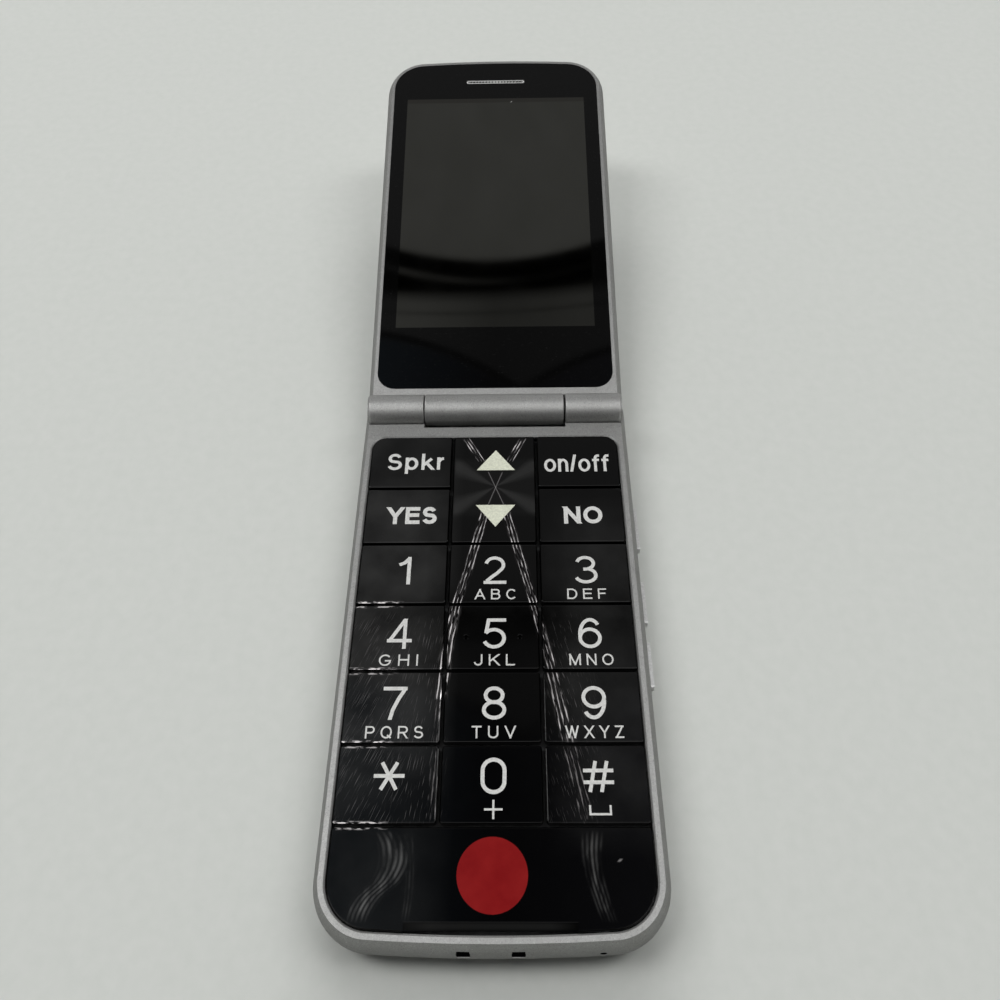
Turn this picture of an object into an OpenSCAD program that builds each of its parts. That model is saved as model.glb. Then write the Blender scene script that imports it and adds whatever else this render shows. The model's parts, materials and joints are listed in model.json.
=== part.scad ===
// Clamshell phone lying open on its back: a base with big raised keys, and a lid with the
// display, joined by a three-knuckle hinge barrel. Millimetres, +Z up, +Y from the keypad to
// the lid. The origin is the centre of the base's flat rest face. Key legends are left off.

/* [Base] */
// Overall width of the base at its widest line
base_w = 57; // [55.5:0.5:60]
// Thickness of the base from the rest face to the rim
base_t = 10; // [9.8:0.1:11]
// Height of the widest line, where the two housings meet
belly_z = 4.5; // [4.2:0.1:4.8]
// Width of the flat silver rim round the keypad
rim_w = 1.15; // [0.9:0.05:1.6]
// Corner radius of the rim at the bottom end
corner_r = 8.5; // [7:0.5:10]
// Radius of the slight bow of the bottom end
bow_r = 320; // [200:10:500]
// Thickness of the front housing's top plate
top_plate_t = 1.1; // [0.9:0.1:1.3]
// Thickness of the rear housing's floor
floor_t = 1.3; // [1.2:0.1:1.6]

/* [Keypad] */
// Width of the front housing beside the keypad window
keypad_side = 2.7; // [2.5:0.05:3]
// Length of the keypad window
keypad_l = 93.8; // [92:0.2:96]
// Corner radius of the window at the hinge end
window_top_r = 3; // [2:0.5:4]
// Height of the first row of keys
first_row = 13.2; // [12.6:0.1:13.8]
// Height of the full-width key's row
call_row = 15.6; // [14:0.1:17]
// Width of the gaps between the keys
key_gap = 0.5; // [0.4:0.05:0.7]
// Thickness of a key
key_t = 1.4; // [1.2:0.1:1.5]
// How far the keys stand above the rim
key_proud = 0.1; // [0:0.05:0.2]
// Travel of a key
key_travel = 0.4; // [0.3:0.05:0.4]
// Bevel round the top of a key
key_bevel = 0.22; // [0.15:0.01:0.3]
// Radius of a key's upright corners
key_corner_r = 0.5; // [0.3:0.1:0.8]
// Width of the finger lip at the foot of the full-width key
lip_w = 26.4; // [20:0.2:32]
// Diameter of the coloured disc in the full-width key
disc_d = 10.9; // [9:0.1:12]

/* [Hinge] */
// Angle between base and lid when open
open_angle = 168.2; // [160:0.2:172]
// Gap between the two rims when closed
face_gap = 0.8; // [0.7:0.05:1]
// Radius of the hinge barrel
barrel_r = 3.35; // [3.3:0.05:3.6]
// Distance from the base's side to the barrel's end
barrel_inset = 1.4; // [1.2:0.1:2]
// Length of the lid's middle knuckle
knuckle_l = 29.6; // [28:0.2:31]
// Gap beside the middle knuckle, mean of both sides
knuckle_gap = 0.3; // [0.25:0.05:0.4]
// Sideways play by which the middle knuckle sits to the left
knuckle_shift = 0.1; // [0:0.02:0.12]
// Distance from the keypad window to the hinge axis
hinge_setback = 7; // [6.8:0.1:7.5]
// Outer radius of the spring cartridge
cartridge_r = 2.5; // [2.4:0.05:2.5]
// Running clearance of the shaft and the sleeve
running_fit = 0.05; // [0.03:0.01:0.08]

/* [Lid] */
// How far the lid's side stands back from the base's
lid_step = 0.5; // [0.3:0.1:0.8]
// Thickness of the lid
lid_t = 7.6; // [7.4:0.1:8.4]
// Distance of the lid's widest line from its back
lid_belly_z = 4.2; // [4:0.1:4.4]
// Width of the silver rim round the lid window
lid_rim_w = 0.7; // [0.6:0.05:1]
// Width of the lid beside its window
lid_side = 2.05; // [1.9:0.05:2.4]
// How far the lid's rim reaches past the base's rim when closed
lid_over = 0.5; // [0.3:0.1:0.8]
// Corner radius of the lid window at the hinge end
lid_window_r = 4; // [3:0.5:5]
// Distance from the hinge axis to the lid window
lid_window_y = 5.5; // [5.3:0.1:6]
// Thickness of the lid window
lid_window_t = 1; // [0.8:0.1:1.1]
// Width of the black border beside the screen
screen_side = 3.45; // [3:0.05:4]
// Width of the black border at the hinge end of the screen
screen_low = 15.7; // [14:0.1:17]
// Width of the black border at the far end of the screen
screen_high = 12.15; // [11.5:0.05:13]
// Length of the earpiece slot
ear_slot_l = 15; // [12:0.5:17]
// Height of the earpiece slot
ear_slot_w = 1.25; // [1:0.05:1.6]
// Distance from the earpiece slot to the far end of the window
ear_slot_edge = 6.35; // [6:0.05:6.8]

/* [Side keys and sockets] */
// Height of a side key
side_key_h = 2; // [1.8:0.1:2.2]
// How far a side key stands out of the wall
side_key_out = 0.5; // [0.4:0.05:0.7]
// Travel of a side key
side_key_travel = 0.3; // [0.2:0.05:0.35]
// Width of a charging contact slot
slot_w = 2; // [1.6:0.1:2.4]
// Height of a charging contact slot
slot_h = 2.7; // [2.2:0.1:2.9]
// Distance between the charging contact slots
slot_pitch = 8.45; // [7.5:0.05:10]
// Diameter of the microphone hole
mic_hole_d = 0.9; // [0.7:0.1:1.2]
// Width of the battery
battery_w = 36; // [34:0.5:37]
// Distance from the keypad window's lower end to the battery
battery_low = 20.7; // [20:0.1:24]

/* [Hidden] */

// Fineness: true rounds, hull children and the wide bow
$fn = 64;
bow_fn = 720;
back_steps = 9;
face_steps = 5;
corner_steps = 14;
bow_steps = 6;
large_steps = 8;
small_steps = 3;
bevel_share = 0.3;
eps = 0.01;

// Colours
silver = [0.66, 0.66, 0.63];
gloss_black = [0.03, 0.03, 0.035];
soft_black = [0.09, 0.09, 0.095];
signal_red = [0.55, 0.05, 0.06];
steel = [0.72, 0.73, 0.75];
bright = [0.85, 0.86, 0.87];
gold = [0.83, 0.66, 0.30];
board_green = [0.08, 0.30, 0.20];
flex_amber = [0.75, 0.42, 0.10];
grey_rubber = [0.55, 0.56, 0.56];
screen_grey = [0.13, 0.13, 0.125];

// Overreach of a cut past the face that it opens
over = 1;

// Widths that follow from the base's, and lengths that follow from the keypad's
key_clear = 0.15;
keypad_w = base_w - 2*keypad_side;
lid_w = base_w - 2*lid_step;
lid_window_w = lid_w - 2*lid_side;
screen_w = lid_window_w - 2*screen_side;
barrel_l = base_w - 2*barrel_inset;
col_pitch = (keypad_w + key_gap - 2*key_clear)/3;
row_pitch = (keypad_l - first_row - call_row)/5;

// Base, from the rim inwards and outwards
rim_half = keypad_w/2 + rim_w;
flare = base_w/2 - rim_half;
base_l = keypad_l + hinge_setback + rim_w + flare + barrel_r;
hinge_y = base_l/2 - barrel_r;
hinge_z = base_t + face_gap/2;
tail_y = base_l/2;
keypad_top = hinge_y - hinge_setback;
keypad_end = keypad_top - keypad_l;
rim_end = -keypad_end + rim_w;
hinge_round = 3;
tail_round = 3.6;
least_r = 0.5;
window_bevel = 0.3;

// Housings
cavity_gap = 0.3;
cavity_top = base_t - top_plate_t;
cavity_y = keypad_top + cavity_gap;
cavity_half = keypad_w/2 + cavity_gap;
wall_gap = 0.2;
cover_t = 1.2;
cover_gap = 0.15;

// Keypad stack, from the keys down to the board
key_top_z = base_t + key_proud;
key_bottom_z = key_top_z - key_t;
membrane_t = 0.5;
membrane_in = 0.1;
press_gap = 0.05;
membrane_top = key_bottom_z - key_travel - press_gap;
membrane_z = membrane_top - membrane_t;
nub_r = 1.5;
nub_h = 0.45;
dome_r = 2.5;
dome_top_r = 1.75;
dome_t = 0.25;
board_t = 1;
board_top = membrane_z - nub_h - dome_t - press_gap;
board_z = board_top - board_t;
board_half = cavity_half - 0.5;
board_y0 = keypad_end + 2.5;
board_y1 = cavity_y - 0.6;

// Under the board, from the hinge end to the bottom end
under_gap = 0.2;
antenna_gap = 0.6;
antenna_l = 4.4;
antenna_side = 4.1;
antenna_y = cavity_y - antenna_gap - antenna_l;
antenna_z = cover_t + floor_t + 0.1;
antenna_groove = 2;
antenna_wall = 1.2;
speaker_w = 15;
speaker_l = 11;
speaker_t = 3;
speaker_gap = 1.9;
speaker_clear = 0.2;
speaker_rim = 1.5;
speaker_recess = 0.3;
speaker_z = floor_t + under_gap;
speaker_y = antenna_y - speaker_gap - speaker_l/2;
speaker_foot = speaker_y - speaker_l/2;
sound_pitch = 1.8;
sound_r = 0.45;
motor_r = 5;
motor_t = 2.8;
motor_side = 2.1;
motor_drop = 0.6;
cover_lap = 1.5;
cover_y = speaker_foot - cover_lap;
notch_r = 10;
notch_depth = 0.6;
notch_w = 8;
bay_gap = 0.3;
bay_wall = 1;
bay_floor = 0.6;
bay_top = board_z - under_gap - bay_floor;
battery_clear = 0.1;
battery_high = 5.5;
battery_z = cover_t + battery_clear;
battery_t = bay_top - battery_clear - battery_z;
battery_y0 = keypad_end + battery_low;
battery_l = speaker_foot - battery_high - battery_y0;
battery_y = battery_y0 + battery_l/2;
bay_w = battery_w + 2*bay_gap;
bay_l = battery_l + 2*bay_gap;
bay_half_w = bay_w/2 + bay_wall;
bay_y0 = battery_y - bay_l/2 - bay_wall;
bay_y1 = battery_y + bay_l/2 + bay_wall;

// Battery contacts: springs through windows in the bay's wall, with a leg up to the board
spring_pitch = 3;
spring_w = 1.2;
spring_h = 1.8;
spring_z = battery_z + 1;
spring_gap = 0.05;
spring_leg = 0.6;
spring_room = 0.2;

// Card holder and shield cans
holder_w = 16;
holder_l = 12;
holder_t = 1.5;
holder_rim = 1.2;
holder_side = 0.5;
holder_gap = 0.8;
holder_room = 0.4;
card_t = 0.8;
holder_x = -holder_side - holder_w;
holder_y = bay_y0 - holder_gap - holder_l;
can_t = 1.6;
can_side = 1.1;
can_gap = 0.7;
can_x = -cavity_half + can_side;
// Corner, width and length of each can: beside the battery, beside the card, beside the speaker
cans = [[can_x, battery_y0 + 6, -can_x - can_gap - bay_half_w, 26],
    [2, keypad_end + 7.7, 13, 10],
    [can_x, speaker_foot - 0.5, 14, 10]];

// Key columns and rows; rows count from the hinge end
col_x = [-col_pitch, 0, col_pitch];
row_line = [for (r = [0 : 5]) keypad_top - first_row - r*row_pitch];
function row_y0(r) = r == 0 ? keypad_top : row_line[r - 1];
function row_y1(r) = r == 6 ? keypad_end : row_line[r];
function row_mid(r) = (row_y0(r) + row_y1(r))/2;
nav_mid = (row_y0(0) + row_y1(1))/2;
nav_dome_y = 7.8;
pip_r = 0.5;
pip_h = 0.2;
pip_x = 4.9;
disc_t = 0.5;
lip_gap = 0.42;
lip_l = 1.65;
lip_drop = 0.5;

// Hinge
knuckle_x0 = -knuckle_l/2 - knuckle_shift;
knuckle_x1 = knuckle_l/2 - knuckle_shift;
outer_x0 = -knuckle_l/2 - knuckle_gap;
outer_x1 = knuckle_l/2 + knuckle_gap;
trough_r = barrel_r + 1.15;
trough_back_z = 6.1;
web_top = 0.6;
web_drop = 1.2;
barrel_round = 0.7;
knuckle_edge = 0.25;
groove_w = 0.22;
groove_drop = 1.2;
barrel_wall = 1;
lid_tilt = 180 - open_angle;
lid_face = face_gap/2;
cartridge_end = 1.8;
cartridge_l = barrel_l/2 + outer_x0 - cartridge_end;
cartridge_wall = 0.35;
cartridge_cap = 0.8;
cartridge_nose = 1;
cartridge_gap = 0.05;
spring_end = 0.1;
spring_fit = 0.1;
spring_bore = 0.15;
shaft_r = 1.1;
shaft_head_r = 2.1;
shaft_flat = 1.7;
shaft_head_l = 5;
shaft_end = 1.2;
head_clear = 0.1;
cam_l = 2;
cam_fit = 0.02;
sleeve_l = 8;
sleeve_in = 4;
sleeve_wall = 0.35;
sleeve_r = cartridge_r - running_fit;
flex_roll_r = 1.6;
flex_t = 0.2;
flex_w = 6;
flex_gap = 0.5;
flex_meet = 0.3;
flex_margin = 2.7;
sleeve_x0 = knuckle_x1 - sleeve_in;
sleeve_x1 = sleeve_x0 + sleeve_l;
base_flex_x0 = sleeve_x1 + flex_meet;
base_flex_w = barrel_l/2 - barrel_wall - flex_margin - base_flex_x0;
flex_slot_z = cavity_top - 1;
flex_slot_h = 0.8;
flex_riser = 1.2;
lid_flex_x = 7.7;
lid_flex_z = -flex_roll_r - flex_t/2;
lid_flex_plug_y = 10.7;
plug_l = 2;
plug_h = 0.7;

// Lid, in its own frame: y from the hinge axis, front face up
lid_rim_half = lid_window_w/2 + lid_rim_w;
lid_flare = lid_w/2 - lid_rim_half;
lid_rim_end = hinge_y + rim_end + lid_over;
lid_window_end = lid_rim_end - lid_rim_w;
ear_slot_y = lid_window_end - ear_slot_edge;
screen_y0 = lid_window_y + screen_low;
screen_y1 = lid_window_end - screen_high;
lid_end_gap = 0.4;
lid_y0 = barrel_r + lid_end_gap;
lid_back_z = -lid_face - lid_t;
lid_seam_z = lid_back_z + lid_belly_z;
lid_ledge = 0.9;
lid_clear = 0.05;
lid_wall = 1.1;
lid_round = 3;
lid_screws_y = 7.6;
lid_screws_x = lid_w/2 - 7;
lid_knuckle_room = 0.1;
window_z = -lid_face - lid_window_t;
window_glue = 0.02;
module_t = 2.4;
module_side = 2;
module_low = 4.5;
module_high = 2.25;
module_gap = 0.1;
module_z = window_z - module_gap - module_t;
lid_board_t = 0.8;
lid_board_gap = 0.3;
lid_board_z = module_z - lid_board_gap - lid_board_t;
outer_w = 30;
outer_l = 26;
outer_y = 55;
outer_r = 3;
outer_t = 1;
outer_edge = 1;
outer_display_z = lid_back_z + outer_t + module_gap;
outer_display_t = lid_board_z - lid_board_gap - outer_display_z;
outer_display_side = 1.5;
camera_y = lid_window_end - 19.75;
camera_r = 3.6;
camera_seat = 0.6;
camera_w = 8;
camera_t = 1.8;
camera_barrel_r = 2.6;
lens_t = 0.6;
lid_board_y0 = lid_window_y + 4.5;
lid_board_y1 = camera_y - camera_w/2;
earpiece_w = 12;
earpiece_l = 5.4;
earpiece_t = 2.6;
earpiece_r = 1.5;
earpiece_gap = 0.05;
earpiece_drop = 0.4;
grille_t = 0.5;
grille_sink = 0.15;
grille_clear = 0.05;
grille_holes = 19;
grille_hole_r = 0.25;
magnet_size = [6, 3, 1.5];
magnet_x = -20;
magnet_edge = 7.75;

// Side keys: middle and length of each
side_keys = [[22.6, 10], [6.1, 9], [-6.5, 9]];
side_key_z = 5;
side_clear = 0.12;
side_key_round = 0.6;
flange_t = 0.6;
flange_over = 0.7;
flange_drop = 0.3;
switch_depth = 1.7;
switch_l = 4;
switch_t = 1.85;
switch_gap = 0.1;
side_key_x = base_w/2 + side_key_out;
flange_x = cavity_half - 0.15;

// Sockets and small inner pieces
slot_z = board_top - 0.25;
mic_x = 17.1;
mic_z = board_z + 0.3;
mic_w = 2.2;
mic_t = 1.4;
mic_in = 0.4;
contact_gap = 0.15;
contact_leg = 5;
contact_t = 0.4;
usb_y = 8;
usb_w = 7.6;
usb_h = 2.7;
usb_l = 5.4;
usb_z = board_z - under_gap - usb_h/2;
usb_clear = 0.2;
usb_inset = 0.6;
usb_wall = 0.3;
screw_r = 0.7;
screw_head_r = 1.3;
screw_head_t = 0.8;
screw_sink = 0.6;
screw_clear = 0.1;
screw_bite = 0.02;
screw_end = 6.1;
screw_back = 4.7;
screw_side = 2.2;
screw_low = 13.2;
upper_screws = [for (side = [-1, 1]) [side*(barrel_l/2 - screw_end), hinge_y - screw_back]];
lower_screws = [for (side = [-1, 1]) [side*(cavity_half - screw_side), keypad_end + screw_low]];
screws = concat(upper_screws, lower_screws);
screw_top = board_z + screw_clear;
boss_r = 1.5;
boss_gap = 0.3;
boss_top = membrane_z - wall_gap;
lid_screws_at = [for (side = [-1, 1]) [side*lid_screws_x, lid_screws_y]];
lid_boss_top = window_z - module_gap;
lid_screw_top = lid_boss_top - 0.3;

// ---------------------------------------------------------------- shared shapes

// Points of an arc about (cx, cy)
function arc(cx, cy, r, a0, a1, steps) = [for (i = [0 : steps])
    let (a = a0 + (a1 - a0)*i/steps) [cx + r*cos(a), cy + r*sin(a)]];

// Angle between the middle of the bow and a corner's centre
function bow_angle(half, r, bow) = asin((half - r)/(bow - r));
function bow_centre(end, bow) = bow - end;
function corner_y(half, end, r, bow) =
    bow_centre(end, bow) - (bow - r)*cos(bow_angle(half, r, bow));

// Level outline of a half: straight sides, round corners and a bowed end towards -Y
module level(half, end, tail, r, bow) {
    turn = bow_angle(half, r, bow);
    cy = corner_y(half, end, r, bow);
    polygon(concat([[half, tail], [-half, tail]],
        arc(-half + r, cy, r, 180, 270 - turn, corner_steps),
        arc(0, bow_centre(end, bow), bow, 270 - turn, 270 + turn, bow_steps),
        arc(half - r, cy, r, 270 + turn, 360, corner_steps)));
}

// Pillow-shaped half with its bowed end towards -Y, its back on z = 0 and a flat tail: the
// levels swell by an arc from the rim to the belly, and draw in by a quarter round below it
module pillow(half, end, tail, thick, belly, out, r, bow) {
    face_h = thick - belly;
    face_r = (out*out + face_h*face_h)/(2*out);
    face_turn = asin(face_h/face_r);
    profile = concat(arc(out - belly, belly, belly, -90, 0, back_steps),
        arc(out - face_r, belly, face_r, face_turn/face_steps, face_turn, face_steps - 1));
    hull() for (p = profile)
        translate([0, 0, min(p[1], thick - eps)]) linear_extrude(eps)
            level(half + p[0], end + p[0], tail, r + p[0], bow + p[0]);
}

// Flat outline with the same bowed end; round corners of top_r at the other end
module outline(half, end, tail, r, bow, top_r) {
    turn = bow_angle(half, r, bow);
    cy = corner_y(half, end, r, bow);
    reach = bow + r;
    translate([-half, cy]) square([2*half, tail - top_r - cy]);
    translate([-half + top_r, tail - top_r - eps]) square([2*(half - top_r), top_r + eps]);
    for (side = [-1, 1]) {
        translate([side*(half - top_r), tail - top_r]) circle(top_r);
        translate([side*(half - r), cy]) circle(r);
    }
    intersection() {
        translate([0, bow_centre(end, bow)]) circle(bow, $fn = bow_fn);
        translate([0, bow_centre(end, bow)]) polygon([
            [0, 0], [-reach*sin(turn), -reach*cos(turn)], [reach*sin(turn), -reach*cos(turn)]]);
        translate([-half, -end - over]) square([2*half, cy + end + over + eps]);
    }
}

// The keypad window's outline, drawn in by d
module keypad_outline(d = 0, top = keypad_top)
    outline(keypad_w/2 - d, -keypad_end - d, top - d, corner_r - rim_w - d,
        bow_r - rim_w - d, max(window_top_r - d, least_r));

// The lid window's outline, drawn in by d
module lid_outline(d = 0) mirror([0, 1])
    outline(lid_window_w/2 - d, lid_window_end - d, -lid_window_y - d,
        corner_r - lid_rim_w - d, bow_r - lid_rim_w - d, max(lid_window_r - d, least_r));

// Rectangle with round corners, centred
module round_rect(w, l, r) {
    square([w - 2*r, l], center = true);
    square([w, l - 2*r], center = true);
    for (x = [-1, 1], y = [-1, 1])
        translate([x*(w/2 - r), y*(l/2 - r)]) circle(r);
}

module slab(w, l, t, r, z) translate([0, 0, z]) linear_extrude(t) round_rect(w, l, r);

// Cylinder along X from x0 to x1 on the hinge axis of the frame that it is drawn in
module rod(r, x0, x1) translate([x0, 0, 0]) rotate([0, 90, 0]) cylinder(r = r, h = x1 - x0);

// Barrel length with its ends eased by the radii e0 and e1
module knuckle(r, x0, x1, e0, e1) {
    translate([x0, 0, 0]) rotate([0, 90, 0]) rotate_extrude() {
        translate([0, e0]) square([r, x1 - x0 - e0 - e1]);
        square([r - e0, x1 - x0]);
        square([r - e1, x1 - x0]);
        intersection() {
            translate([r - e0, e0]) circle(e0);
            translate([r - e0 - eps, 0]) square([e0 + over, e0 + eps]);
        }
        intersection() {
            translate([r - e1, x1 - x0 - e1]) circle(e1);
            translate([r - e1 - eps, x1 - x0 - e1]) square([e1 + over, e1]);
        }
    }
}

module on_axis() translate([0, hinge_y, hinge_z]) children();
module in_lid() on_axis() rotate([lid_tilt, 0, 0]) children();

// Prism along X that rounds an outside edge at the tail (y1) and the bottom (z = 0)
module edge_cut(half, y1, r) {
    translate([-half, y1 - r, 0]) difference() {
        translate([0, 0, -over]) cube([2*half, r + over, r + over]);
        translate([-over, 0, r]) rotate([0, 90, 0]) cylinder(r = r, h = 2*half + 2*over);
        translate([-over, -over, -2*over]) cube([2*half + 2*over, over, r + 3*over]);
    }
}

// Upright prism that rounds an outside corner of radius r at (x1, y1)
module corner_cut(x1, y1, r, h) translate([x1 - r, y1 - r, -over]) difference() {
    cube([r + over, r + over, h + 2*over]);
    translate([0, 0, -over]) cylinder(r = r, h = h + 4*over);
}

// Foot of a housing screw: the cover hides the lower two
function screw_z(s) = screw_sink + (s[1] < cover_y ? cover_t : 0);

module screw(length) {
    cylinder(r = screw_head_r, h = screw_head_t);
    cylinder(r = screw_r, h = length);
}

// ---------------------------------------------------------------- base housings

module base_form() difference() {
    pillow(rim_half, rim_end, tail_y, base_t, belly_z, flare, corner_r, bow_r);
    edge_cut(base_w, tail_y, tail_round);
    for (side = [0, 1]) mirror([side, 0, 0])
        corner_cut(base_w/2, tail_y, hinge_round, base_t);
}

module side_key_holes(grow) for (k = side_keys)
    translate([cavity_half - over, k[0] - k[1]/2 - grow, side_key_z - side_key_h/2 - grow])
        cube([flare + rim_w + 3*over, k[1] + 2*grow, side_key_h + 2*grow]);

module usb_hole() translate([-base_w/2 - over, usb_y - usb_w/2 - usb_clear,
        usb_z - usb_h/2 - usb_clear])
    cube([base_w/2 - cavity_half + 2*over, usb_w + 2*usb_clear, usb_h + 2*usb_clear]);

module contact_slots() for (side = [-1, 1])
    translate([side*slot_pitch/2 - slot_w/2, -rim_end - flare - over, slot_z - slot_h/2])
        cube([slot_w, flare + rim_w + 3*over, slot_h]);

module base_cavity(z0, z1, y1) translate([0, 0, z0]) linear_extrude(z1 - z0)
    keypad_outline(-cavity_gap, y1 - cavity_gap);

module trough() {
    on_axis() rod(trough_r, outer_x0, outer_x1);
    translate([outer_x0, hinge_y, trough_back_z])
        cube([outer_x1 - outer_x0, barrel_r + over, hinge_z]);
}

module front_housing() color(silver) difference() {
    union() {
        intersection() {
            base_form();
            translate([-base_w, -base_l, belly_z]) cube([2*base_w, 2*base_l, base_t]);
        }
        on_axis() {
            knuckle(barrel_r, -barrel_l/2, outer_x0, barrel_round, knuckle_edge);
            knuckle(barrel_r, outer_x1, barrel_l/2, knuckle_edge, barrel_round);
        }
    }
    // crease in front of the outer knuckles
    on_axis() difference() {
        rod(barrel_r + groove_w, -base_w, base_w);
        rod(barrel_r, -base_w - over, base_w + over);
        translate([-base_w - over, -barrel_r, -base_t])
            cube([2*base_w + 2*over, 3*barrel_r, 2*base_t]);
        translate([-base_w - over, -2*barrel_r, -base_t - groove_drop])
            cube([2*base_w + 2*over, 3*barrel_r, base_t]);
    }
    translate([0, 0, -over]) linear_extrude(base_t + 2*over) keypad_outline();
    // bevel round the window's upper edge
    hull() {
        translate([0, 0, base_t - window_bevel]) linear_extrude(eps) keypad_outline();
        translate([0, 0, base_t]) linear_extrude(eps) keypad_outline(-window_bevel);
    }
    difference() {
        base_cavity(0, cavity_top, cavity_y);
        // bosses of the two lower screws
        for (s = lower_screws) {
            translate([s[0], s[1], 0]) cylinder(r = boss_r, h = boss_top);
            translate([s[0] > 0 ? s[0] : -base_w/2, s[1] - boss_r/2, 0])
                cube([base_w/2 - abs(s[0]), boss_r, boss_top]);
        }
    }
    trough();
    // bores for the cartridge on the left, the sleeve and the cable on the right
    on_axis() {
        rod(cartridge_r + running_fit, -barrel_l/2 + barrel_wall, outer_x0 + over);
        rod(cartridge_r, outer_x1 - over, barrel_l/2 - barrel_wall);
    }
    translate([base_flex_x0 - flex_gap, cavity_y - over, flex_slot_z])
        cube([base_flex_w + 2*flex_gap, hinge_y - cavity_y, flex_slot_h]);
    side_key_holes(side_clear);
    usb_hole();
    contact_slots();
    translate([mic_x, -rim_end - flare, mic_z]) rotate([-90, 0, 0])
        cylinder(d = mic_hole_d, h = 3*rim_w);
    for (s = screws) translate([s[0], s[1], 0])
        cylinder(r = screw_r + screw_bite, h = screw_top + screw_clear);
}

module cover_region(gap) translate([-base_w, -base_l, -over])
    cube([2*base_w, base_l + cover_y + gap, cover_t + over + gap]);

module rear_housing() color(silver) difference() {
    union() {
        intersection() {
            base_form();
            translate([-base_w, -base_l, 0]) cube([2*base_w, 2*base_l, belly_z]);
        }
        // walls and floor of the battery bay
        translate([-bay_half_w, bay_y0, cover_t])
            cube([2*bay_half_w, bay_y1 - bay_y0, bay_top + bay_floor - cover_t]);
    }
    cover_region(cover_gap);
    // battery bay
    translate([-bay_w/2, battery_y - bay_l/2, 0]) cube([bay_w, bay_l, bay_top]);
    // room for the parts under the board, round the bay
    difference() {
        base_cavity(cover_t + floor_t, base_t, cavity_y + 2*over);
        translate([-bay_half_w, bay_y0, 0]) cube([2*bay_half_w, bay_y1 - bay_y0, base_t]);
        for (s = screws) translate([s[0], s[1], 0]) cylinder(r = boss_r + boss_gap, h = belly_z);
    }
    // speaker well and its sound holes
    translate([-speaker_w/2 - speaker_clear, speaker_foot - speaker_clear, speaker_z])
        cube([speaker_w + 2*speaker_clear, speaker_l + 2*speaker_clear, base_t]);
    for (i = [-3 : 3], j = [-1 : 1]) translate([i*sound_pitch, speaker_y + j*sound_pitch, -over])
        cylinder(r = sound_r, h = floor_t + 2*over);
    side_key_holes(side_clear);
    usb_hole();
    // window to the card holder
    translate([holder_x - holder_room, holder_y - holder_room, 0])
        cube([holder_w + 2*holder_room, holder_l + 2*holder_room, base_t]);
    // windows of the battery contacts
    for (i = [-1 : 1])
        translate([i*spring_pitch - spring_w/2 - spring_room, bay_y1 - bay_wall - over,
                spring_z - spring_room])
            cube([spring_w + 2*spring_room, bay_wall + 2*over, spring_h + 2*spring_room]);
    for (s = screws) translate([s[0], s[1], -over]) {
        cylinder(r = screw_r + screw_clear, h = base_t);
        cylinder(r = screw_head_r + screw_clear, h = screw_z(s) + screw_head_t + over);
    }
}

module battery_cover() color(silver) difference() {
    intersection() {
        base_form();
        cover_region(0);
    }
    // thumb notch at the joint with the rear housing
    translate([0, cover_y, notch_depth - notch_r]) rotate([90, 0, 0])
        cylinder(r = notch_r, h = notch_w, center = true);
}

// ---------------------------------------------------------------- base inner parts

module battery() color(soft_black)
    translate([0, battery_y, 0]) slab(battery_w, battery_l, battery_t, 2, battery_z);

module battery_contacts() color(gold) for (i = [-1 : 1])
    translate([i*spring_pitch - spring_w/2, 0, spring_z]) {
        translate([0, battery_y + battery_l/2 + spring_gap, 0])
            cube([spring_w, bay_gap + bay_wall + spring_leg, spring_h]);
        translate([0, bay_y1 + 2*spring_gap, 0]) cube([spring_w, spring_leg, board_z - spring_z]);
    }

module main_board() color(board_green) difference() {
    translate([0, 0, board_z]) linear_extrude(board_t) intersection() {
        keypad_outline(0.3);
        translate([-board_half, board_y0]) square([2*board_half, board_y1 - board_y0]);
    }
    for (s = lower_screws) {
        translate([s[0], s[1], 0]) cylinder(r = boss_r + boss_gap, h = base_t);
        translate([s[0] > 0 ? s[0] : -base_w/2, s[1] - boss_r/2 - boss_gap, 0])
            cube([base_w/2 - abs(s[0]), boss_r + 2*boss_gap, base_t]);
    }
}

// Middle of every dome below the keys
dome_at = concat(
    [for (r = [0, 1], c = [0, 2]) [col_x[c], row_mid(r)]],
    [for (s = [-1, 1]) [0, nav_mid + s*nav_dome_y]],
    [for (r = [2 : 5], c = [0 : 2]) [col_x[c], row_mid(r)]],
    [[0, row_mid(6)]]);

module keypad_membrane() color(grey_rubber) {
    translate([0, 0, membrane_z]) linear_extrude(membrane_t)
        keypad_outline(membrane_in, keypad_top);
    for (d = dome_at) translate([d[0], d[1], membrane_z - nub_h])
        cylinder(r = nub_r, h = nub_h + membrane_t);
}

module key_domes() color(steel) for (d = dome_at)
    translate([d[0], d[1], board_top]) cylinder(r1 = dome_r, r2 = dome_top_r, h = dome_t);

module shield_cans() color(steel) for (c = cans)
    translate([c[0], c[1], board_z - can_t]) cube([c[2], c[3], can_t]);

module sim_holder() color(bright) difference() {
    translate([holder_x, holder_y, board_z - holder_t]) cube([holder_w, holder_l, holder_t]);
    translate([holder_x + holder_rim, holder_y - over, board_z - holder_rim])
        cube([holder_w - 2*holder_rim, holder_l - holder_rim + over, card_t]);
}

module loudspeaker() color(soft_black) translate([0, speaker_y, 0]) difference() {
    slab(speaker_w, speaker_l, speaker_t, speaker_rim + 1, speaker_z);
    slab(speaker_w - 2*speaker_rim, speaker_l - 2*speaker_rim, speaker_recess + over, speaker_rim,
        speaker_z - over);
}

module vibration_motor() color(steel)
    translate([cavity_half - motor_side - motor_r, speaker_y - motor_drop,
            board_z - motor_t - spring_gap])
        cylinder(r = motor_r, h = motor_t);

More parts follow.
